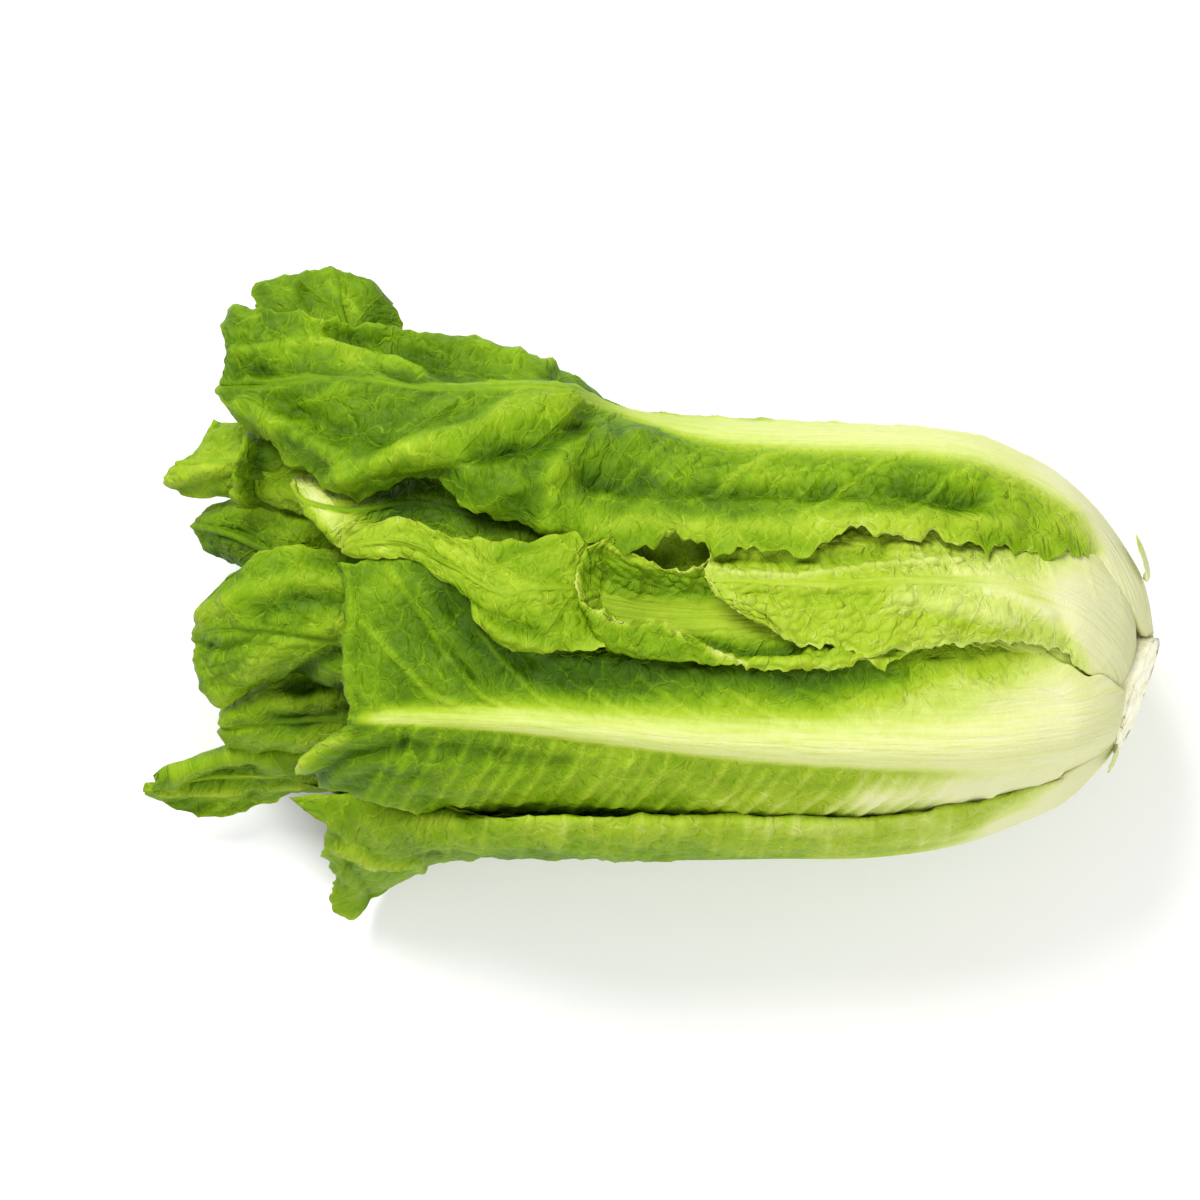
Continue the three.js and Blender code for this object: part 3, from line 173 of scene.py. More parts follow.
    {"name": "leaf_left_mid", "kind": "outer", "rib": [1.4, 6.0], "floor": 0, "rows": [
        (0, [22.6,17,10.6,5,-0.6,-6.2,-11.8], 10.5),
        (3, [27,20,12,5,-2,-9,-16], 10.5),
        (14, [28.2,20.8,12.8,5.4,-2,-9,-15.6], 10.9),
        (45, [30,22,14,6,-2,-9,-15], 11.5),
        (880, [32,24,15,6,-2,-9,-14], 13.0),
        (780, [32,24,15,6,-2,-9,-14], [13.2,13.6,14.0,14.2,14.0,13.6,13.2]),
        (690, [530,550,570,590,610,628,640], [8.6,12.0,14.5,15,14.6,12.5,9.4]),
        (620, [528,545,565,588,611,634,650], [3.8,6.4,12.5,13.2,11.6,8.2,3.4]),
        ([560,556,552,550,548,548,552], [534,549,567,588,612,635,652], [2.6,1.6,1.2,0.8,0.8,1.4,3.6]),
        ([500,500,500,500,500,498,498], [540,556,574,592,611,630,645], [2.8,1.6,1.2,1.2,1.2,1.6,3.6]),
        ([452,452,452,453,454,458,466], [534,545,556,566,578,592,604], [3.2,2.0,2.0,2.4,2.8,3.2,4.4]),
        ([408,406,404,403,403,405,410], [517,526,535,543,550,556,562], [3.0,2.4,3.4,4.4,5.0,5.6,6.4]),
        ([366,362,360,360,362,366,374], [524,531,537,543,548,553,558], [5.4,5.0,5.8,6.6,7.2,7.8,8.4]),
        ([350,345,342,341,342,346,352], [541,544,547,550,552,554,557], [8.4,8.2,8.6,9.0,9.6,10,10.6]),
    ]},
    {"name": "leaf_inner_top", "kind": "inner", "rib": [1.4, 6.0], "floor": 0, "rows": [
        (0, [58.6,51.4,44.2,37,30.6,24.2,18.6], [9.2,9.2,9.6,11,12.5,12.5,12.5]),
        (3, [64,55,46,37,29,21,14], [9.2,9.2,9.6,11,12.5,12.5,12.5]),
        (14, [68,57.8,48,38.2,29.4,21,13.2], [9.2,9.2,9.6,11,12.5,12.5,12.5]),
        (45, [74,62,51,40,30,21,12], [10.6,10.4,10.4,11.6,13.2,13.4,13.6]),
        (920, [78,65,53,41,30,20,10], [12.5,12,11.6,13,15,15.6,15.8]),
        (800, [78,65,53,41,30,19,9], [12.5,12,11.6,13.4,16,16.4,16.4]),
        (690, [76,64,52,40,29,18,8], [12.5,12,11.6,13.4,16,16.6,16.8]),
        (590, [74,62,50,38,28,19,10], [12.5,12,11.4,12.6,15,15.6,15.8]),
        (500, [70,58,47,35,27,19,11], [12,11.4,10.6,10,10.6,11.6,12.8]),
        ([420,420,420,418,416,414,414], [450,468,486,503,516,528,540], [16,13,11.5,11,12,13,14.4]),
        ([372,366,360,352,346,343,342], [458,478,496,510,524,537,548], [18,15,12,10,10.4,12,14]),
        ([318,312,308,305,306,312,322], [474,482,491,501,513,526,540], [18,15.5,13.5,12,12.4,14,16]),
        ([297,293,291,290,292,296,302], [473,475,478,483,489,496,504], [17.5,16.5,15.5,15,15.2,15.8,16.8]),
    ]},
    {"name": "leaf_left_big", "kind": "outer", "rib": [1.6, 7.0], "floor": 0, "rows": [
        (0, [-11.6,-20.4,-29.2,-38,-46.8,-55.6,-64.4], 9.5),
        (3, [-5,-16,-27,-38,-49,-60,-71], 9.5),
        (14, [-1.8,-14,-26.2,-38.4,-50.6,-62.4,-73.8], 10.1),
        (45, [3,-11,-25,-39,-53,-66,-78], [13,12,11,11,11.5,13,14]),
        (900, [6,-9,-24,-39,-54,-68,-80], [16,15.5,13.5,12.5,14.5,20,22.5]),
        (780, [6,-9,-24,-39,-53,-67,-79], [16.5,16,13.8,12.5,14.5,20.5,23]),
        (660, [5,-8,-22,-36,-50,-64,-77], [16.5,16,13.8,12.8,14.8,20.8,23]),
        (550, [4,-7,-19,-31,-44,-58,-71], [16.5,16,14.6,13.8,15.5,20.5,23]),
        (450, [596,630,660,690,718,746,770], [17,16.5,16.5,17,18,20,24]),
        ([372,368,364,362,360,362,366], [558,592,622,650,676,702,726], [1086,1087,1087,1085,1082,1077,1070]),
        ([304,296,290,287,286,290,300], [546,578,606,634,655,672,684], [1080,1083,1083,1080,1076,1070,1062]),
        ([252,238,229,226,228,238,254], [552,572,598,630,658,678,690], [1078,1077,1074,1070,1066,1061,1056]),
        ([230,212,200,191,192,203,222], [573,592,608,634,668,695,706], [1070,1067,1063,1058,1055,1053,1050]),
    ]},
    {"name": "leaf_left_low", "kind": "outer", "rib": [1.6, 7.0], "floor": 0, "rows": [
        (0, [-47.2,-56.8,-66.4,-76,-85.6,-95.2,-104.8], 11),
        (3, [-40,-52,-64,-76,-88,-100,-112], 11),
        (14, [-37.6,-50.8,-64,-77.2,-90.4,-103.2,-116], 12.2),
        (45, [-34,-49,-64,-79,-94,-108,-122], [14.5,14.5,14.8,15.5,15,14.2,14]),
        (890, [-30,-46,-62,-79,-96,-112,-127], [18,19.5,22.5,24.8,20.5,16.5,15]),
        (780, [-30,-46,-62,-79,-96,-112,-127], [18,19.5,23,25.2,20.5,16.5,15]),
        (660, [-28,-43,-59,-75,-92,-108,-123], [18.5,19.5,23,25.2,20.5,16.5,15.5]),
        (550, [-25,-39,-54,-69,-85,-101,-116], [19,20,22.5,24.6,21,17.5,16]),
        (450, [-20,-33,-47,-61,-76,-92,-108], [20,19.5,19,19,19,19.5,20]),
        ([372,370,366,362,362,366,372], [650,676,702,726,748,766,780], [1075,1071,1068,1063,1056,1048,1038]),
        ([306,298,292,288,288,294,304], [664,684,704,722,736,750,764], [1062,1058,1058,1055,1050,1042,1032]),
        ([256,244,236,232,234,242,256], [688,700,714,727,739,750,760], [1051,1050,1052,1048,1043,1038,1031]),
        ([238,228,223,221,223,232,246], [697,704,714,726,738,746,754], [1047,1045,1047,1044,1040,1036,1031]),
    ]},
    {"name": "leaf_left_tip", "kind": "outer", "rib": [1.6, 6.0], "floor": 0, "rows": [
        (0, [-91.2,-100.8,-110.4,-120,-129.6,-139.2,-148.8], 8.5),
        (3, [-84,-96,-108,-120,-132,-144,-156], 8.5),
        (14, [-81.6,-94.8,-108,-121.2,-134.4,-147.6,-160.4], 9.1),
        (45, [-78,-93,-108,-123,-138,-153,-167], 10),
        (900, [-76,-92,-108,-124,-140,-156,-171], 10),
        (780, [-76,-92,-108,-124,-140,-156,-171], 10),
        (660, [-74,-90,-106,-122,-138,-154,-169], 10.5),
        (550, [-70,-86,-102,-118,-134,-150,-165], 12),
        (450, [-66,-81,-97,-113,-129,-145,-160], [16,14,13,13,13,14,16]),
        ([370,366,360,356,356,360,368], [742,756,772,784,790,786,776], [1048,1046,1040,1032,1024,1018,1016]),
        ([300,292,286,284,286,290,296], [742,752,764,776,786,792,794], [1036,1040,1038,1030,1023,1018,1016]),
        ([236,228,224,222,222,224,230], [742,752,763,777,793,806,816], [1026,1034,1033,1025,1018,1014,1013]),
        ([190,182,178,176,176,178,184], [757,766,774,783,794,804,813], [1024,1030,1029,1022,1016,1013,1012]),
        ([160,153,147,144,144,147,153], [779,780,781,783,787,791,796], [1027,1029,1027,1023,1019,1016,1014]),
    ]},
    {"name": "leaf_upper_left", "kind": "outer", "rib": [1.6, 6.0], "floor": 0, "rows": [
        (0, [74,66,58,50,42,34,26], 14.5),
        (3, [80,70,60,50,40,30,20], 14.5),
        (14, [83.2,72.4,61.6,50.8,40,29.2,18.4], 15),
        (45, [88,76,64,52,40,28,16], 16),
        (890, [92,79,66,53,40,27,15], [16,16,16.2,17,18.2,18.6,18.8]),
        (780, [92,79,66,53,40,27,15], [16,16,16.2,17,18.2,18.6,18.8]),
        (660, [90,77,64,51,38,26,14], [16,16,16.2,17,18.2,18.6,18.8]),
        (550, [86,73,60,48,36,24,13], [17,17,17,17.4,18,18.4,18.6]),
        (450, [80,68,56,45,34,23,13], [18,18,18,18,18.5,19,19.5]),
        ([366,364,362,360,360,362,366], [418,438,458,478,498,516,534], [1062,1068,1073,1077,1078,1078,1076]),
        ([300,296,292,290,290,292,296], [412,430,446,462,478,494,510], [1058,1063,1068,1071,1072,1070,1067]),
        ([238,226,218,214,214,218,226], [418,430,446,462,478,490,500], [1056,1060,1063,1065,1064,1061,1058]),
        ([212,207,192,174,164,164,178], [418,428,455,463,474,487,499], [1052,1055,1057,1058,1057,1055,1053]),
    ]},
    {"name": "leaf_upper_fold", "kind": "inner", "rib": [1.4, 5.0], "floor": 0, "rows": [
        (0, [54,46,38,30,22,14.8,7.6], 18.5),
        (3, [60,50,40,30,20,11,2], 18.5),
        (14, [62.4,51.6,41.2,30.8,20.4,10.6,1.2], 18.9),
        (45, [66,54,43,32,21,10,0], [20,20,20.2,20.6,21,21.2,21.4]),
        (860, [68,56,44,32,20,9,-2], [20,20,20.2,20.6,21,21.2,21.4]),
        (750, [68,56,44,32,20,9,-2], [20,20,20.2,20.6,21,21.2,21.4]),
        (640, [66,54,42,31,20,9,-1], [20,20,20.2,20.6,21,21.2,21.4]),
        (540, [63,52,41,30,20,10,1], [20,20,20.2,20.6,21,21.2,21.4]),
        (450, [59,49,39,30,21,12,4], 22),
        ([372,368,366,366,366,368,372], [438,454,470,488,506,522,538], [1066,1068,1068,1069,1070,1069,1068]),
        ([302,298,296,296,297,300,304], [438,450,464,480,496,510,522], [1070,1071,1070,1066,1064,1062,1060]),
        ([262,254,248,246,248,254,262], [436,446,460,476,490,502,512], [1074,1077,1076,1070,1066,1063,1060]),
        ([247,240,235,232,230,230,236], [431,441,454,470,486,498,508], [1073,1078,1078,1073,1068,1064,1061]),
    ]},
    {"name": "leaf_left_dark", "kind": "inner", "rib": [1.4, 5.0], "floor": 0, "rows": [
        (0, [18,10,2,-6,-14,-22,-30], 19),
        (3, [24,14,4,-6,-16,-26,-36], 19),
        (14, [25.6,14.8,4,-6.8,-17.6,-28.4,-39.2], 20),
        (45, [28,16,4,-8,-20,-32,-44], 21.5),
        (850, [30,17,4,-9,-22,-35,-48], [22.8,23,23.2,23.4,23.6,24,26]),
        (740, [30,17,4,-9,-22,-35,-48], [22.8,23,23.2,23.4,23.6,24,26]),
        (630, [29,16,3,-9,-22,-34,-46], [22.8,23,23.2,23.4,23.6,24,26]),
        (530, [27,15,3,-8,-20,-32,-43], [22.8,23,23.2,23.4,23.6,24,26]),
        (440, [25,14,3,-7,-17,-28,-38], 25),
        ([366,362,360,358,358,360,364], [508,528,550,572,596,620,642], [1070,1072,1073,1073,1071,1068,1064]),
        ([300,294,290,288,289,293,300], [500,520,540,560,582,604,622], [1060,1063,1064,1063,1061,1057,1052]),
        ([250,238,230,227,229,238,252], [498,508,520,534,550,564,574], [1053,1055,1056,1055,1053,1050,1046]),
        ([222,206,195,190,194,207,228], [502,506,514,526,541,553,559], [1048,1048,1047,1046,1045,1044,1042]),
    ]},
    {"name": "leaf_tip_up", "kind": "inner", "rib": [1.4, 5.0], "floor": 0, "rows": [
        (0, [98.6,91.4,84.2,77,69.8,62.6,55.4], [9.4,9.2,8.8,8.6,8.6,8.6,8.6]),
        (3, [104,95,86,77,68,59,50], [9.4,9.2,8.8,8.6,8.6,8.6,8.6]),
        (14, [108.8,98.6,88.4,78.2,68,58.2,48.4], [9.4,9.2,8.8,8.6,8.6,8.6,8.6]),
        (45, [116,104,92,80,68,57,46], [9.4,9.2,8.8,8.6,8.6,8.6,8.6]),
        (920, [120,107,94,81,68,56,44], [9.4,9.2,8.8,8.6,8.6,8.6,8.6]),
        (800, [120,107,94,81,68,55,43], [9.4,9.2,8.8,8.6,8.6,8.6,8.6]),
        (690, [118,105,92,79,66,53,41], [9.4,9.2,8.8,8.6,8.6,8.6,8.6]),
        (590, [112,100,88,76,64,52,41], [9.4,9.2,8.8,8.6,8.6,8.6,8.6]),
        ([500,500,500,498,496,494,492], [104,93,82,72,62,53,44], [9,8,7,6.4,6.4,7,8]),
        ([438,434,430,424,416,408,400], [392,392,394,398,406,418,434], [1052,1062,1071,1077,1080,1081,1080]),
        ([408,397,384,370,352,334,320], [352,353,355,358,363,371,384], [1050,1056,1062,1067,1069,1069,1067]),
        ([396,384,366,344,318,288,262], [318,319,320,322,322,320,316], [1050,1054,1058,1060,1061,1060,1057]),
        ([388,376,358,334,306,278,250], [303,289,277,273,276,281,290], [1047,1050,1053,1054,1055,1054,1053]),
        ([384,370,352,332,306,280,254], [297,280,269,264,268,273,281], [1046,1048,1051,1052,1053,1052,1052]),
    ]},
    {"name": "leaf_back_low", "kind": "inner", "rib": [1.2, 8.0], "floor": 4.7, "rows": [
        (0, [170,162,154,146,138,130,122], [6.4,6.4,6.6,6.6,6.8,7.2,7.6]),
        (3, [176,166,156,146,136,126,116], [6.4,6.4,6.6,6.6,6.8,7.2,7.6]),
        (14, [181.6,170,158.4,146.8,135.2,123.6,112], [6.4,6.4,6.6,6.6,6.8,7.2,7.6]),
        (45, [190,176,162,148,134,120,106], [6.4,6.4,6.6,6.6,6.8,7.2,7.6]),
        (910, [194,179,164,149,134,119,104], [6.4,6.4,6.6,6.6,6.8,7.2,7.6]),
        (790, [194,179,164,149,134,119,104], [6.4,6.4,6.6,6.6,6.8,7.2,7.6]),
        (670, [191,177,162,148,133,119,105], [6.4,6.4,6.6,6.6,6.8,7.2,7.6]),
        (560, [186,173,160,147,133,120,107], [6.4,6.4,6.6,6.6,6.8,7.2,7.6]),
        (450, [180,168,156,144,132,120,109], [10,8,6,5,6,7,9]),
        ([360,354,350,348,350,354,360], [174,164,154,144,134,124,115], [15,11,7,5,5,8,12]),
        ([292,280,272,268,272,280,292], [168,160,152,144,136,128,121], [19,14,9,6,6,9,13]),
        ([252,238,228,224,228,238,252], [163,157,151,144,138,132,126], [23,18,13,10,10,13,17]),
    ]},
    {"name": "leaf_under_side", "kind": "inner", "rib": [1.6, 6.0], "floor": 3.2, "rows": [
        (0, [220,212,204,196,188,180,172], 4.2),
        (3, [226,216,206,196,186,176,166], 4.2),
        (14, [231.6,220,208.4,196.8,185.2,173.6,162], 4.1),
        (45, [240,226,212,198,184,170,156], 4),
        (912, [246,230,215,200,185,170,154], 4),
        (792, [246,230,215,200,185,170,154], 4),
        (672, [244,229,214,200,185,171,156], 4),
        (562, [240,226,212,199,185,172,158], 4.5),
        (452, [236,224,212,199,186,174,162], [9,6,4,3,3,4,6]),
        ([362,352,346,342,344,350,358], [236,224,212,200,188,178,168], [13,9,5,3,3,6,10]),
        ([296,280,268,262,264,272,286], [232,222,211,200,190,181,173], [17,12,7,4,4,8,13]),
        ([262,244,230,222,226,236,252], [227,218,209,200,192,184,178], [21,16,10,6,6,11,17]),
    ]},
    {"name": "heart_1", "kind": "heart", "rib": [1.2, 5.0], "floor": 0, "auto": [430, -86, 62, 26]},
    {"name": "heart_2", "kind": "heart", "rib": [1.2, 5.0], "floor": 0, "auto": [418, 124, 66, 24]},
    {"name": "heart_3", "kind": "heart", "rib": [1.2, 5.0], "floor": 0, "auto": [452, 18, 66, 29]},
    {"name": "heart_4", "kind": "heart", "rib": [1.2, 5.0], "floor": 0, "auto": [444, -150, 68, 31.5]},
    {"name": "heart_5", "kind": "heart", "rib": [1.2, 4.0], "floor": 0, "auto": [474, 84, 70, 34.5]},
    {"name": "heart_6", "kind": "heart", "rib": [1.2, 4.0], "floor": 0, "auto": [492, -48, 74, 37.5]},
    {"name": "heart_7", "kind": "heart", "rib": [1.2, 4.0], "floor": 0, "auto": [520, 170, 80, 41]},
    {"name": "heart_8", "kind": "heart", "rib": [1.2, 3.0], "floor": 0, "auto": [548, 40, 84, 44.5]},
    {"name": "leaf_stub_1", "kind": "stub", "rib": [0.6, 3.0], "floor": 0, "rows": [
        (9, [93,89.5,86,82,78,74,70], -0.5),
        (14, [95,91,87,82,77,72.5,68], -1.2),
        (20, [94,90.5,86.5,82,77,72.5,68.5], -1.6),
        ([25,27,28,28,28,27,25], [91,88,85,82,78,75,72], -1.9),
    ]},
    {"name": "leaf_stub_2", "kind": "stub", "rib": [0.6, 3.0], "floor": 0, "rows": [
        (3, [-56,-59,-62,-65,-68,-71,-74], -0.6),
        (8, [-55,-58.5,-62,-65.5,-69,-72,-75], -1.0),
        (12, [-56,-59.5,-62.5,-65.5,-69,-72,-75], -1.2),
        ([14,16,17,15,17,16,14], [-58,-61,-63.5,-66,-69,-71.5,-73.5], -1.4),
    ]},
]


def keyed(keys, x):
    return float(np.interp(x, [k[0] for k in keys], [k[1] for k in keys]))


def stem_at(px):
    t = min(max((px - CORE["inner"]) / (CORE["cut"] - CORE["inner"]), 0.0), 1.0)
    return -(CORE["y1"] - GRID_Y0) * t * GRID, AXIS_Z + (CORE["z1"] - AXIS_Z) * t, CORE["r0"] + (CORE["r1"] - CORE["r0"]) * t


def nose_at(angle, depth):
    a = math.radians(angle)
    return CORE["cut"] + CORE["lean_y"] * math.sin(a) - CORE["lean_z"] * math.cos(a) - NOSE_STEP * depth


def layer(px, depth, angle):
    t = min(max((nose_at(angle, depth) - px) / (NOSE * (1 - depth / 85)), 0.0), 1.0)
    g = math.sqrt(1 - (1 - t) ** 2)
    sy, sz, sr = stem_at(px)
    return (
        (1 - g) * sy,
        (1 - g) * sz + g * AXIS_Z,
        (1 - g) * (sr + 0.6) + g * (keyed(HALF_WIDTH, px) - depth),
        (1 - g) * (sr + 0.6) + g * (keyed(HALF_HEIGHT, px) - depth),
    )


def point(px, q, d):
    if abs(q) <= 260:
        tx = nose_at(q, d) - px if px < 100 else px
        cy, cz, ry, rz = layer(tx, d, q)
        a = math.radians(q)
        return (tx - GRID_X0) * GRID, cy + ry * math.sin(a), cz + rz * math.cos(a)
    z = d - 1000.0 if d > 500 else 100.0
    q0 = x = y = 0.0
    for _ in range(4):
        f = (EYE[2] - z) / (EYE[2] - EYE[3])
        x = EYE[0] + (px - 600) * GRID * f
        y = EYE[1] + (600 - q) * GRID * f
        if d > 500:
            break
        cy, cz, ry, rz = layer(GRID_X0 + x / GRID, d, q0)
        s = min(max((y - cy) / ry, -0.985), 0.985)
        q0 = math.degrees(math.asin(s))
        z = cz + rz * math.sqrt(1 - s * s)
    return x, y, z


def seven(v):
    return list(v) if isinstance(v, list) else [v] * 7


def heart_rows(tip, angle, half, depth):
    base = CORE["cut"] - NOSE_STEP * depth - 45
    rows = [(0, 0.5, 0), (3, 0.62, 0), (14, 0.72, 0), (45, 0.84, 0)]
    for t, w, lag in ((0.16, 0.95, 0), (0.38, 1, 0), (0.6, 1, 0), (0.8, 0.95, 6), (0.93, 0.72, 16), (1, 0.32, 22)):
        rows.append((base + (tip - base) * t, w, lag))
    return [
        ([x + lag * ((3 - c) / 3) ** 2 for c in range(7)], [angle + half * w * (3 - c) / 3 for c in range(7)], depth)
        for x, w, lag in rows
    ]


def net_of(leaf):
    rows = leaf["rows"] if "rows" in leaf else heart_rows(*leaf["auto"])
    return np.array([[point(a, b, c) for a, b, c in zip(seven(px), seven(q), seven(d))] for px, q, d in rows])


def spline(points, u):
    """Catmull-Rom curve through points (n, ...) at the parameters u."""
    n = len(points) - 1
    i = np.clip(np.floor(u).astype(int), 0, n - 1)
    t = (u - i).reshape((-1,) + (1,) * (points.ndim - 1))
    ext = np.concatenate([[2 * points[0] - points[1]], points, [2 * points[n] - points[n - 1]]])
    p0, p1, p2, p3 = ext[i], ext[i + 1], ext[i + 2], ext[i + 3]
    return 0.5 * (2 * p1 + (p2 - p0) * t + (2 * p0 - 5 * p1 + 4 * p2 - p3) * t**2 + (3 * p1 - p0 - 3 * p2 + p3) * t**3)


def surface(net, u, v):
    across = spline(net.transpose(1, 0, 2), v).transpose(1, 0, 2)
    return spline(across, u)


# ---------------------------------------------------------------- noise
def hash01(ix, iy, seed):
    m = np.uint64(0xFFFFFFFF)
    n = (ix.astype(np.int64).astype(np.uint64) * np.uint64(374761393) + iy.astype(np.int64).astype(np.uint64) * np.uint64(668265263) + np.uint64(seed) * np.uint64(2246822519)) & m
    n = ((n ^ (n >> np.uint64(13))) * np.uint64(1274126177)) & m
    n = ((n ^ (n >> np.uint64(16))) * np.uint64(2654435761)) & m
    n = n ^ (n >> np.uint64(15))
    return n.astype(np.float64) / 4294967295.0


def noise(x, y, seed):
    """Smooth noise from -1 to 1, with features one unit wide."""
    x, y = np.broadcast_arrays(np.asarray(x, float), np.asarray(y, float))
    ix, iy = np.floor(x), np.floor(y)
    fx, fy = x - ix, y - iy
    fx, fy = fx**3 * (fx * (fx * 6 - 15) + 10), fy**3 * (fy * (fy * 6 - 15) + 10)
    a, b = hash01(ix, iy, seed), hash01(ix + 1, iy, seed)
    c, d = hash01(ix, iy + 1, seed), hash01(ix + 1, iy + 1, seed)
    return 2 * ((a + (b - a) * fx) * (1 - fy) + (c + (d - c) * fx) * fy) - 1


def fractal(x, y, seed, steps=3):
    total, weight, norm = 0.0, 1.0, 0.0
    for k in range(steps):
        total = total + weight * noise(x * 2**k + 7.3 * k, y * 2**k - 3.1 * k, seed + k)
        norm += weight
        weight *= 0.5
    return total / norm * 1.5


def cells(x, y, seed, jitter=0.85):
    """Distances to the nearest and second nearest cell centres, and the nearest one's number."""
    x, y = np.broadcast_arrays(np.asarray(x, float), np.asarray(y, float))
    ix, iy = np.floor(x), np.floor(y)
    f1 = np.full(x.shape, 9.0)
    f2 = np.full(x.shape, 9.0)
    ident = np.zeros(x.shape)
    for dx in (-1, 0, 1):
        for dy in (-1, 0, 1):
            cx = ix + dx + 0.5 + jitter * (hash01(ix + dx, iy + dy, seed) - 0.5)
            cy = iy + dy + 0.5 + jitter * (hash01(ix + dx, iy + dy, seed + 91) - 0.5)
            d = np.hypot(x - cx, y - cy)
            nearer = d < f1
            f2 = np.where(nearer, f1, np.minimum(f2, d))
            ident = np.where(nearer, hash01(ix + dx, iy + dy, seed + 17), ident)
            f1 = np.where(nearer, d, f1)
    return f1, f2, ident


def step(a, b, x):
    t = np.clip((x - a) / (b - a), 0, 1)
    return t * t * (3 - 2 * t)


def teeth(s, length, seed, sharp=2.2):
    """Irregular ragged margin, from about -1 to 1, along the arc length s."""
    out = 0.0
    for k, (l, w) in enumerate(((length, 1.0), (length * 0.43, 0.5), (length * 2.6, 0.55))):
        p = s / l + 0.35 * noise(s / l / 1.7, 0 * s + 5.5 + k, seed + k)
        f = p - np.floor(p)
        tall = hash01(np.floor(p), 0 * p, seed + 31 + k)
        tooth = np.where(f < 0.62, (f / 0.62) ** sharp, ((1 - f) / 0.38) ** 0.8)
        out = out + w * (tooth * (0.35 + 0.9 * tall) - 0.4)
    return out


# ---------------------------------------------------------------- leaves
BASE = dict(
    fine=(110, 50),  # steps along and across
    blade=0.7,
    base=1.5,  # how much thicker the leaf is at the stem
    ribout=0.6,  # share of the midrib that stands out on the outer face
    soft=((0.8, 6), (0.8, 6)),  # width and sharpness of the pale midrib on its two sides
    plain=(0.0, 0.01),  # where the blisters start, as a share of the length
    rib=None,  # (height, half width) in mm at the base; None takes the table's
    white=(0.10, 0.30),  # where the white base turns green, as a share of the length
    tone=(0.62, 0.78),  # ripeness of the green near the base and at the tip
    ribtone=((0, 0.12), (0.5, 0.35), (1, 0.60)),  # ripeness along the midrib
    vein=13.0,  # spacing of the side veins
    slant=1.1,
    vein_h=0.6,
    cell=(9.0, 7.0),
    bul=0.6,  # height of the blisters, negative for hollows
    fold=1.2,
    fold_l=(52.0, 26.0),
    crk=0.7,  # crumple between the veins
    crk_l=(17.0, 12.0),
    crest_light_paint=0.07,  # painted highlight on the crests of the blisters and crumples, painted shade in their hollows
    veinlight=0.13,
    ruf=1.6,
    ruf_l=17.0,
    ruf_w=9.0,
    teeth=1.2,
    teeth_l=8.0,
    start=0.14,  # share of the length with a plain margin
)


def seen(p):
    """Where points appear in the picture from above."""
    near = (EYE[2] - EYE[3]) / (EYE[2] - p[..., 2])
    return 600 + (p[..., 0] - EYE[0]) * near / GRID, 600 - (p[..., 1] - EYE[1]) * near / GRID


def away(x, y, line):
    """Distance from points to a line of x, y, x, y, ..."""
    pts = np.array(line, float).reshape(-1, 2)
    dist = np.full(x.shape, 1e9)
    for (x0, y0), (x1, y1) in zip(pts[:-1], pts[1:]):
        lx, ly = x1 - x0, y1 - y0
        h = np.clip(((x - x0) * lx + (y - y0) * ly) / (lx * lx + ly * ly), 0, 1)
        dist = np.minimum(dist, np.hypot(x - x0 - h * lx, y - y0 - h * ly))
    return dist


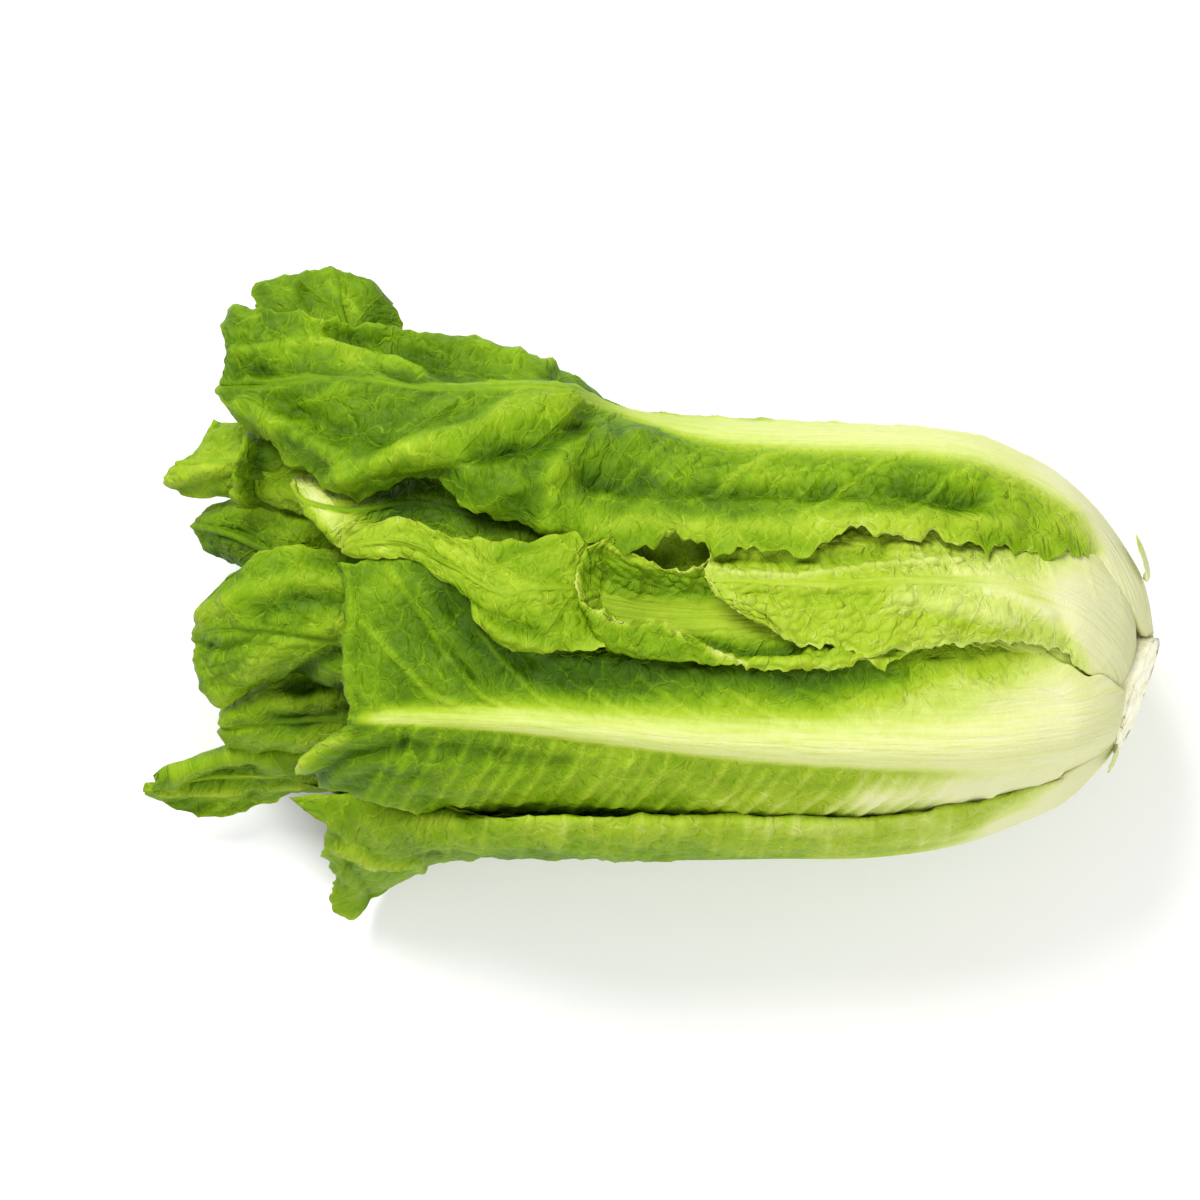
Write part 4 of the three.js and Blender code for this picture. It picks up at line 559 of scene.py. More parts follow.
def leaf_mesh(leaf, look, seed):
    net = net_of(leaf)
    last = len(net) - 1
    nu = max(12, int(look["fine"][0] * FINE))
    nv = max(9, int(look["fine"][1] * FINE))

    # even steps along the leaf and, closer at the midrib, across it
    uu, vv = np.linspace(0, last, last * 16 + 1), np.linspace(0, 6, 97)
    g = surface(net, uu, vv)
    along = np.concatenate([[0], np.cumsum(np.linalg.norm(np.diff(g[:, 16:81], axis=0), axis=2).mean(1))])
    us = np.interp(np.linspace(0, along[-1], nu), along, uu)
    acr = np.linalg.norm(np.diff(g, axis=1), axis=2).mean(0)
    left, right = np.cumsum(acr[:48][::-1])[::-1], np.cumsum(acr[48:])
    pos = np.concatenate([-left, [0], right])
    w = np.linspace(-1, 1, nv | 1)
    w = np.sign(w) * (0.72 * np.abs(w) + 0.28 * np.abs(w) ** 2)
    vs = np.interp(np.where(w < 0, w * left[0], w * right[-1]), pos, vv)
    p = surface(net, us, vs)
    nu, nv = p.shape[:2]
    mid = nv // 2

    def frame_of(q):
        du, dv = np.gradient(q, axis=0), np.gradient(q, axis=1)
        n = np.cross(du, dv)
        n /= np.maximum(np.linalg.norm(n, axis=2, keepdims=True), 1e-9)
        return du / np.maximum(np.linalg.norm(du, axis=2, keepdims=True), 1e-9), dv / np.maximum(np.linalg.norm(dv, axis=2, keepdims=True), 1e-9), n

    su, sv, n = frame_of(p)
    s = np.linspace(0, along[-1], nu)[:, None] + np.zeros((1, nv))
    dw = np.linalg.norm(np.diff(p, axis=1), axis=2)
    wl = np.cumsum(dw[:, :mid][:, ::-1], axis=1)[:, ::-1]
    wr = np.cumsum(dw[:, mid:], axis=1)
    wid = np.concatenate([-wl, np.zeros((nu, 1)), wr], axis=1)
    side = np.sign(wid)
    full = np.where(side < 0, wl[:, :1], wr[:, -1:])
    t = s / along[-1]
    e_side = full - np.abs(wid)
    e_tip = along[-1] - s
    edge = np.minimum(e_side, e_tip)

    # ragged margins, in the plane of the leaf
    grow = step(look["start"], look["start"] + 0.12, t)
    cut_s = teeth(s + 400 * (side < 0), look["teeth_l"], seed) * look["teeth"] * grow * step(-2, 12, e_tip)
    cut_t = teeth(wid + 300, look["teeth_l"], seed + 5) * look["teeth"] * step(0, 14, e_side + 2)
    reach = 3.0 * look["teeth"] + 2.0
    p = p + sv * (side * cut_s * np.clip(1 - e_side / reach, 0, 1) ** 1.5)[..., None]
    p = p + su * (cut_t * np.clip(1 - e_tip / reach, 0, 1) ** 1.5)[..., None]
    for x0, y0, radius, push in look.get("lobes", ()):
        tx, ty = seen(p)
        near_ = np.exp(-((np.hypot(tx - x0, ty - y0) / radius) ** 2)) * np.clip(1 - e_side / (2.5 * abs(push) + 4), 0, 1) ** 1.3
        p = p + sv * (side * push * near_)[..., None]

    for x0, y0, radius, push in look.get("tips", ()):
        tx, ty = seen(p)
        near_ = np.exp(-((np.hypot(tx - x0, ty - y0) / radius) ** 2)) * np.clip(1 - e_tip / (2.5 * abs(push) + 4), 0, 1) ** 1.3
        p = p + su * (push * near_)[..., None]
    if "sink" in look:
        p = p - n * (look["sink"] * np.exp(-(((wid + 8) / 24) ** 2)) * step(0.03, 0.12, t) * (1 - step(0.50, 0.62, t)))[..., None]

    # the side veins' own coordinate runs at a slant from the midrib
    aw = np.abs(wid)
    psi = s - look["slant"] * aw + 0.004 * aw**2 + 3.0 * noise(s / 38, wid / 30, seed + 2) + 1.2 * noise(s / 13, wid / 13, seed + 3)
    gap = np.where(side > 0, look.get("vein_low", look["vein"]), look["vein"])
    k = psi / gap + 0.45 * (side < 0)
    off = np.abs(k - np.round(k)) * gap * 0.68
    fade = step(0, 0.16, t) * (1 - 0.6 * step(0.55, 1.0, aw / np.maximum(full, 1)))
    line = np.exp(-((off / 0.75) ** 2)) * fade

    # midrib: height and half width along the leaf
    keys = look["rib"] or ((0, leaf["rib"][0], leaf["rib"][1]), (0.5, leaf["rib"][0] * 0.42, leaf["rib"][1] * 0.5), (1, 0.25, 1.0))
    rib_h = np.interp(t, [k_[0] for k_ in keys], [k_[1] for k_ in keys])
    half = np.interp(t, [k_[0] for k_ in keys], [k_[2] for k_ in keys])
    x = np.clip(aw / half, 0, 1)
    rib = (1 - x**2) ** 1.4 * rib_h * np.minimum(1, 0.35 + 4 * t)
    wide_, power_ = np.where(side > 0, look["soft"][1][0], look["soft"][0][0]), np.where(side > 0, look["soft"][1][1], look["soft"][0][1])
    m_rib = np.exp(-((aw / (half * wide_)) ** power_)) * (1 - step(0.93, 1.0, t) * 0.7)
    flat = 1 - np.exp(-((aw / (half * 1.05)) ** 3))

    # blisters between the veins, folds and the ruffled margin
    f1, f2, ident = cells(psi / look["cell"][0] + 0.2 * noise(s / 5, wid / 5, seed + 8), wid / look["cell"][1], seed + 11)
    dome = step(0.0, 0.62, f2 - f1) * (0.55 + 0.6 * ident)
    green = step(look["white"][0], look["white"][1] + 0.12, t + 0.25 * aw / np.maximum(full, 1) * step(0.05, 0.2, t))
    swollen = look["bul"] * step(look["plain"][0], look["plain"][1], t)
    move = swollen * (dome - 0.35) * flat * green
    big = step(0.0, 0.5, np.abs(k - np.round(k)) * 1.0)
    move = move + swollen * 0.8 * (big - 0.5) * flat * green
    cx, cy = s / look["crk_l"][0], wid / look["crk_l"][1]
    cx, cy = cx + 0.5 * noise(cx * 0.7, cy * 0.7, seed + 51), cy + 0.5 * noise(cx * 0.7, cy * 0.7, seed + 52)
    crumple = 0.75 * noise(cx, cy, seed + 53) + 0.45 * (1 - 2.6 * np.abs(noise(cx * 1.3 + 5, cy * 1.3, seed + 54))) + 0.3 * noise(cx * 2.3, cy * 2.3, seed + 55) + 0.14 * (1 - 2.6 * np.abs(noise(cx * 3.1, cy * 2.6 + 9, seed + 56)))
    move = move + look["crk"] * crumple * flat * green
    crest = np.clip(move / 0.9, -1.6, 1.6) * green
    move = move + look["fold"] * fractal(s / look["fold_l"][0], wid / look["fold_l"][1], seed + 21, 2) * flat * step(0.06, 0.25, t)
    frill = noise(s / look["ruf_l"], wid / look["ruf_l"] * 0.6 + 3 * side, seed + 31) + 0.45 * noise(s / look["ruf_l"] * 2.3, wid / look["ruf_l"] * 2.0, seed + 33)
    move = move + look["ruf"] * frill * np.exp(-np.minimum(e_side, e_tip + 3) / look["ruf_w"]) * grow
    # folds, dents and veins that are drawn on the leaf as seen from above; their tints paint shade into valleys and
    # gaps and highlight onto ridges, besides pale veins and the white base
    tx, ty = seen(p)
    drawn = np.zeros_like(t)
    stroke_shade_and_tone = np.zeros_like(t)
    for line_, width, height, shade in look.get("strokes", ()):
        soft = np.exp(-((away(tx, ty, line_) / width) ** 2))
        drawn = drawn + height * soft * flat
        stroke_shade_and_tone = stroke_shade_and_tone + shade * soft * (1 - 0.85 * m_rib if height else 1.0)
    if "quilt" in look:
        g1, g2, gi = cells(psi / 4.3 + 0.2 * noise(s / 4, wid / 4, seed + 78), wid / 3.6, seed + 71)
        puff = step(0.0, 0.55, g2 - g1) * (0.5 + 0.7 * gi) - 0.35
        for line_, width, height in look["quilt"]:
            over = np.exp(-((away(tx, ty, line_) / width) ** 4)) * np.minimum(1, edge / 4)
            drawn = drawn + height * puff * over * flat
            # puffed cells are painted paler on top: painted highlight
            stroke_shade_and_tone = stroke_shade_and_tone - 0.05 * puff * over
    p = p + n * (move + drawn)[..., None]
    su, sv, n = frame_of(p)

    thick = look["blade"] * (0.35 + 0.65 * step(0, 5, edge + 0.4))
    deep = look["base"] * (1 - step(0.03, 0.22, t)) * (0.5 + 0.5 * step(0, 5, edge))
    raised = look["vein_h"] * line * flat
    out = p + n * (thick / 2 + look["ribout"] * rib + raised * np.minimum(1, edge / 2))[..., None]
    inn = p - n * (thick / 2 + deep + (1 - look["ribout"]) * rib - 0.6 * raised * np.minimum(1, edge / 2))[..., None]
    lower_out = out[..., 2] < inn[..., 2]
    floor = leaf["floor"] + 0.02
    for q, below in ((out, lower_out), (inn, ~lower_out)):
        low = np.where(below, floor, floor + 0.55)
        q[..., 2] = np.maximum(q[..., 2], low)

    # ripeness: 0 is the white base, 1 the deepest green, with painted shade and painted highlights added to it below
    spread = aw / np.maximum(full, 1)
    wob = 0.10 * fractal(s / 26, wid / 14, seed + 41, 3)
    leafy = step(look["white"][0], look["white"][1], t + wob * 0.5 + 0.16 * spread * step(0.04, 0.2, t))
    tone = look["tone"][0] + (look["tone"][1] - look["tone"][0]) * step(0.2, 0.9, t)
    # crests are painted paler and hollows darker, a painted highlight and painted shade; where a leaf sets it, the
    # lower half is painted paler against the shade on the side turned away from the key light
    tone = tone + 0.5 * wob + 0.05 * spread + np.where(side > 0, look.get("underside_painted_light", 0), 0) * step(0, 6, aw) - look["crest_light_paint"] * crest
    ripe_and_painted_light = 0.04 + (tone - 0.04) * leafy
    rt = np.interp(t, [k_[0] for k_ in look["ribtone"]], [k_[1] for k_ in look["ribtone"]])
    ripe_and_painted_light = ripe_and_painted_light + (np.minimum(rt, ripe_and_painted_light) - ripe_and_painted_light) * m_rib * 0.95
    veinw = 0.40 / (gap * 0.68) * fade * (1 - m_rib) * step(0, 3, edge)
    # thin margins are painted paler, a painted glow for light shining through them; then the strokes' tints add their
    # painted shade, painted highlights, pale veins and white base
    ripe_and_painted_light = ripe_and_painted_light - 0.14 * np.exp(-edge / 1.1) * leafy * grow + stroke_shade_and_tone
    return p, out, inn, dict(ripe_and_painted_light=np.clip(ripe_and_painted_light, 0, 1), leafy=leafy, rib=m_rib, veink=k, veinw=veinw * look["veinlight"] / 0.13, wid=wid, s=s)


def closed(name, out, inn, data):
    """Joins the outer and inner faces of a sheet round their rim."""
    nu, nv = out.shape[:2]
    count = nu * nv
    verts = np.concatenate([out.reshape(-1, 3), inn.reshape(-1, 3)])
    ids = np.arange(count).reshape(nu, nv)
    a, b, c, d = ids[:-1, :-1], ids[1:, :-1], ids[1:, 1:], ids[:-1, 1:]
    quads = [np.stack([a, b, c, d], -1).reshape(-1, 4), np.stack([a, d, c, b], -1).reshape(-1, 4) + count]
    o, i = ids, ids + count
    quads.append(np.stack([o[:-1, 0], i[:-1, 0], i[1:, 0], o[1:, 0]], -1))
    quads.append(np.stack([o[:-1, -1], o[1:, -1], i[1:, -1], i[:-1, -1]], -1))
    quads.append(np.stack([o[0, :-1], o[0, 1:], i[0, 1:], i[0, :-1]], -1))
    quads.append(np.stack([o[-1, :-1], i[-1, :-1], i[-1, 1:], o[-1, 1:]], -1))
    quads = np.concatenate(quads)
    values = {key: np.concatenate([v.reshape(-1), v.reshape(-1)]) for key, v in data.items()}
    return mesh_object(name, verts, quads, values)


def mesh_object(name, verts, faces, values):
    mesh = bpy.data.meshes.new(name)
    verts = (np.asarray(verts, float) + SHIFT) / 1000.0
    faces = np.asarray(faces)
    mesh.vertices.add(len(verts))
    mesh.vertices.foreach_set("co", verts.astype(np.float32).ravel())
    sides = faces.shape[1]
    mesh.loops.add(faces.size)
    mesh.loops.foreach_set("vertex_index", faces.astype(np.int32).ravel())
    mesh.polygons.add(len(faces))
    mesh.polygons.foreach_set("loop_start", np.arange(0, faces.size, sides, dtype=np.int32))
    mesh.polygons.foreach_set("loop_total", np.full(len(faces), sides, np.int32))
    mesh.update(calc_edges=True)
    mesh.validate()
    for key in ("ripe_and_painted_light", "leafy", "rib", "veink", "veinw"):
        if key in values:
            layer_ = mesh.attributes.new(key, "FLOAT", "POINT")
            layer_.data.foreach_set("value", values[key].astype(np.float32))
    if "wid" in values:
        uv = mesh.uv_layers.new(name="UVMap")
        per = np.stack([values["s"], values["wid"]], -1) / 100.0
        uv.data.foreach_set("uv", per[faces.ravel()].astype(np.float32).ravel())
    mesh.polygons.foreach_set("use_smooth", np.ones(len(faces), bool))
    mesh.update()
    obj = bpy.data.objects.new(name, mesh)
    bpy.context.scene.collection.objects.link(obj)
    return obj


# ---------------------------------------------------------------- materials
RAMP = (
    (0.00, (0.740, 0.750, 0.430)),
    (0.12, (0.690, 0.725, 0.300)),
    (0.28, (0.560, 0.650, 0.150)),
    (0.48, (0.365, 0.505, 0.024)),
    (0.68, (0.195, 0.345, 0.005)),
    (0.85, (0.088, 0.188, 0.002)),
    (1.00, (0.036, 0.092, 0.001)),
)


class Graph:
    """A small helper that adds and joins nodes."""

    def __init__(self, name):
        self.mat = bpy.data.materials.new(name)
        self.mat.use_nodes = True
        self.tree = self.mat.node_tree
        self.tree.nodes.clear()
        self.out = self.tree.nodes.new("ShaderNodeOutputMaterial")

    def add(self, kind, settings=(), **inputs):
        node = self.tree.nodes.new(kind)
        for key, value in dict(settings).items():
            setattr(node, key, value)
        for key, value in inputs.items():
            socket = node.inputs[int(key[1:])] if key[0] == "_" else node.inputs[key.replace("__", " ")]
            if isinstance(value, bpy.types.NodeSocket):
                self.tree.links.new(value, socket)
            else:
                socket.default_value = value
        return node

    def math(self, operation, a, b=0.0, c=0.0, clamp=False):
        return self.add("ShaderNodeMath", {"operation": operation, "use_clamp": clamp}, _0=a, _1=b, _2=c).outputs[0]

    def attribute(self, name):
        return self.add("ShaderNodeAttribute", {"attribute_name": name}).outputs["Fac"]

    def ramp(self, fac, stops):
        node = self.add("ShaderNodeValToRGB", (), Fac=fac)
        band = node.color_ramp
        while len(band.elements) > 1:
            band.elements.remove(band.elements[-1])
        band.elements[0].position = stops[0][0]
        band.elements[0].color = (*stops[0][1], 1)
        for at, colour in stops[1:]:
            band.elements.new(at).color = (*colour, 1)
        return node.outputs["Color"]


def leaf_material(name, roughness=0.47, through=0.20):
    g = Graph(name)
    uv = g.add("ShaderNodeUVMap", {"uv_map": "UVMap"}).outputs[0]
    warp = g.add("ShaderNodeTexNoise", {"noise_dimensions": "2D"}, Vector=uv, Scale=11.0, Detail=3.0)
    moved = g.add("ShaderNodeVectorMath", {"operation": "MULTIPLY_ADD"}, _0=warp.outputs["Color"], _1=(0.075, 0.075, 0.0), _2=uv).outputs[0]
    stretched = g.add("ShaderNodeVectorMath", {"operation": "MULTIPLY"}, _0=moved, _1=(1.0, 0.85, 1.0)).outputs[0]

    def fall(value, width):
        r = g.add("ShaderNodeMapRange", {"interpolation_type": "SMOOTHSTEP"}, Value=value)
        r.inputs["From Min"].default_value = 0.0
        if isinstance(width, float):
            r.inputs["From Max"].default_value = width
        else:
            g.tree.links.new(width, r.inputs["From Max"])
        r.inputs["To Min"].default_value = 1.0
        r.inputs["To Max"].default_value = 0.0
        return r.outputs["Result"]

    def lines(scale, width):
        v = g.add("ShaderNodeTexVoronoi", {"voronoi_dimensions": "2D", "feature": "DISTANCE_TO_EDGE"}, Vector=stretched, Scale=scale, Randomness=1.0)
        return v.outputs["Distance"], fall(v.outputs["Distance"], width)

    # side veins, with the numbers that the mesh carries
    k = g.attribute("veink")
    width = g.math("MAXIMUM", g.attribute("veinw"), 0.0005)
    offset = g.math("ABSOLUTE", g.math("SUBTRACT", k, g.math("ROUND", k)))
    side = g.math("MULTIPLY", fall(offset, width), g.math("MULTIPLY", g.attribute("veinw"), 14.0, clamp=True))

    # a net of finer veins, stronger in some places than in others
    patch = g.add("ShaderNodeTexNoise", {"noise_dimensions": "2D"}, Vector=uv, Scale=22.0, Detail=1.0).outputs["Fac"]
    patch = g.math("MULTIPLY_ADD", patch, 2.4, -0.62, clamp=True)
    dist, wide = lines(12.5, 0.048)
    near, mesh = lines(29.0, 0.075)
    wide = g.math("MULTIPLY", wide, g.math("MULTIPLY_ADD", patch, 0.6, 0.4))
    mesh = g.math("MULTIPLY", mesh, g.math("MULTIPLY_ADD", patch, 0.7, 0.3))
    leafy = g.math("MULTIPLY", g.attribute("leafy"), g.math("SUBTRACT", 1.0, g.attribute("rib")), clamp=True)
    ripe_and_painted_light = g.attribute("ripe_and_painted_light")
    blotch = g.add("ShaderNodeTexNoise", {"noise_dimensions": "2D"}, Vector=uv, Scale=34.0, Detail=5.0, Roughness=0.60).outputs["Fac"]
    pattern = g.math("ADD", g.math("MULTIPLY", wide, 0.125), g.math("MULTIPLY", mesh, 0.06))
    pattern = g.math("MULTIPLY", g.math("MAXIMUM", pattern, g.math("MULTIPLY", side, 0.13)), leafy)
    tone = g.math("SUBTRACT", ripe_and_painted_light, pattern)
    tone = g.math("ADD", tone, g.math("MULTIPLY", g.math("SUBTRACT", blotch, 0.5), 0.12), clamp=True)
    combing = g.add("ShaderNodeVectorMath", {"operation": "MULTIPLY"}, _0=uv, _1=(5.0, 75.0, 1.0)).outputs[0]
    streak = g.add("ShaderNodeTexNoise", {"noise_dimensions": "2D"}, Vector=combing, Scale=1.0, Detail=2.0).outputs["Fac"]
    streak = g.math("MULTIPLY", g.math("SUBTRACT", streak, 0.5), g.math("SUBTRACT", 1.0, leafy))
    tone = g.math("ADD", tone, g.math("MULTIPLY", streak, 0.22), clamp=True)
    colour = g.ramp(tone, RAMP)
    grain = g.add("ShaderNodeTexNoise", {"noise_dimensions": "2D"}, Vector=uv, Scale=110.0, Detail=2.0).outputs["Fac"]
    swell = g.math("ADD", g.math("MULTIPLY", fall(dist, 0.40), -0.36), g.math("MULTIPLY", fall(near, 0.42), g.math("MULTIPLY_ADD", patch, -0.20, -0.10)))
    height = g.math("ADD", g.math("ADD", g.math("MULTIPLY", wide, 0.15), g.math("MULTIPLY", mesh, 0.05)), g.math("MULTIPLY", side, 0.22))
    height = g.math("MULTIPLY", g.math("ADD", g.math("ADD", height, swell), g.math("MULTIPLY", blotch, 0.26)), g.math("MULTIPLY", leafy, g.math("MULTIPLY_ADD", ripe_and_painted_light, 3.2, -0.35, clamp=True)))
    height = g.math("ADD", height, g.math("ADD", g.math("MULTIPLY", grain, 0.08), g.math("MULTIPLY", streak, 0.35)))
    bumped = g.add("ShaderNodeBump", (), Strength=0.90, Distance=0.0016, Height=height).outputs[0]
    skin = g.add("ShaderNodeBsdfPrincipled", (), Base__Color=colour, Roughness=roughness, Normal=bumped)
    skin.inputs["Specular IOR Level"].default_value = 0.10
    bright = g.add("ShaderNodeMix", {"data_type": "RGBA", "blend_type": "MULTIPLY"})
    bright.inputs[0].default_value = 1.0
    g.tree.links.new(colour, bright.inputs[6])
    bright.inputs[7].default_value = (1.0, 1.0, 0.50, 1)
    glow = g.add("ShaderNodeBsdfTranslucent", (), Color=bright.outputs[2], Normal=bumped)
    mix = g.add("ShaderNodeMixShader", (), _0=through, _1=skin.outputs[0], _2=glow.outputs[0])
    g.tree.links.new(mix.outputs[0], g.out.inputs["Surface"])
    return g.mat


def stem_material():
    g = Graph("stem_tissue")
    where = g.add("ShaderNodeTexCoord").outputs["Object"]
    soft = g.add("ShaderNodeTexNoise", (), Vector=where, Scale=160.0, Detail=5.0, Roughness=0.62).outputs["Fac"]
    spots = g.add("ShaderNodeTexNoise", (), Vector=where, Scale=520.0, Detail=3.0).outputs["Fac"]
    fac = g.math("ADD", g.math("MULTIPLY", soft, 0.65), g.math("MULTIPLY", spots, 0.35))
    colour = g.ramp(fac, ((0.26, (0.52, 0.46, 0.20)), (0.38, (0.76, 0.735, 0.47)), (0.54, (0.87, 0.86, 0.66))))
    height = g.math("ADD", g.math("MULTIPLY", soft, 0.7), g.math("MULTIPLY", spots, 0.3))
    bumped = g.add("ShaderNodeBump", (), Strength=0.9, Distance=0.0016, Height=height).outputs[0]
    skin = g.add("ShaderNodeBsdfPrincipled", (), Base__Color=colour, Roughness=0.55, Normal=bumped)
    g.tree.links.new(skin.outputs[0], g.out.inputs["Surface"])
    return g.mat


def plain_material(name, colour, roughness):
    g = Graph(name)
    skin = g.add("ShaderNodeBsdfPrincipled", (), Base__Color=(*colour, 1), Roughness=roughness)
    g.tree.links.new(skin.outputs[0], g.out.inputs["Surface"])
    return g.mat


# ---------------------------------------------------------------- stem
def stem_object():
    """The stem, up to its slanted cut face."""
    around = 96
    x0, x1 = CORE["inner"] - 14, CORE["cut"] + 2
    a = np.linspace(0, 2 * math.pi, around, endpoint=False)
    rings = []
    steps = 40
    for i in range(steps + 1):
        t = i / steps
        px = x0 + (x1 - x0) * t
        sy, sz, sr = stem_at(px)
        r = (sr * (0.6 + 0.4 * min(1, t * 8)) - 0.4) * (1 + 0.035 * np.sin(3 * a + 0.7) + 0.02 * np.sin(5 * a + 2) + 0.012 * noise(a * 4, a * 0 + t * 12, 3))
        dy, dz = np.sin(a) * r, np.cos(a) * r
        lean = t * GRID * (CORE["lean_y"] * dy - CORE["lean_z"] * dz) / CORE["r1"]
        rings.append(np.stack([(px - GRID_X0) * GRID + lean, sy + dy, sz + dz], -1))
    sy, sz, sr = stem_at(x1)
    for k, share in enumerate((0.985, 0.95, 0.88, 0.78, 0.66, 0.54, 0.42, 0.3, 0.18, 0.08)):
        r = (sr - 0.4) * share * (1 + 0.035 * np.sin(3 * a + 0.7) + 0.02 * np.sin(5 * a + 2))
        dy, dz = np.sin(a) * r, np.cos(a) * r
        lean = GRID * (CORE["lean_y"] * dy - CORE["lean_z"] * dz) / CORE["r1"]
        rough = 0.9 * fractal(dy / 4.2, dz / 4.2, 77, 3) + 0.1 - (0.3 if k == 0 else 0)
        rings.append(np.stack([(x1 - GRID_X0) * GRID + lean + rough, sy + dy, sz + dz], -1))
    rings = np.array(rings)
    n = len(rings)
    verts = np.concatenate([rings.reshape(-1, 3), [rings[0].mean(0) - (1.5, 0, 0), rings[-1].mean(0)]])
    ids = np.arange(n * around).reshape(n, around)
    nxt = np.roll(ids, -1, axis=1)
    quads = np.stack([ids[:-1], ids[1:], nxt[1:], nxt[:-1]], -1).reshape(-1, 4)
    tris = [np.stack([np.full(around, n * around), ids[0], nxt[0]], -1), np.stack([np.full(around, n * around + 1), nxt[-1], ids[-1]], -1)]
    faces = np.concatenate([quads[:, [0, 1, 2]], quads[:, [0, 2, 3]], *tris])
    return mesh_object("stem_piece", verts, faces, {})


# ---------------------------------------------------------------- how each leaf differs
PLAIN = ((0, 0.05), (0.25, 0.2), (0.4, 1.2), (1, 1.2))  # a midrib as green as its leaf
THIN = ((0, 1.2, 7), (0.3, 0.8, 3.5), (0.6, 0.5, 1.6), (1, 0.2, 1.0))


def combed(x0, x1, gap, edge, end, lean, width, height, shade):
    """Side veins that run from a line of points down to the height end, leaning back by lean."""
    xs, ys = [e[0] for e in edge], [e[1] for e in edge]
    made = []
    for i, x in enumerate(np.arange(x0, x1, gap)):
        x = x + 0.3 * gap * math.sin(5.1 * i)
        y = float(np.interp(x, xs, ys))
        made.append(((x, y, x - 0.32 * lean, y + 0.45 * (end - y), x - lean, end), width, height, shade))
    return tuple(made)


RIB_EDGE = ((330, 724), (420, 728), (540, 739), (620, 748), (701, 759), (781, 768), (861, 773), (960, 780), (1004, 782))

ROLL_EDGE = ((430, 816), (560, 815), (700, 820), (850, 822), (1000, 806))
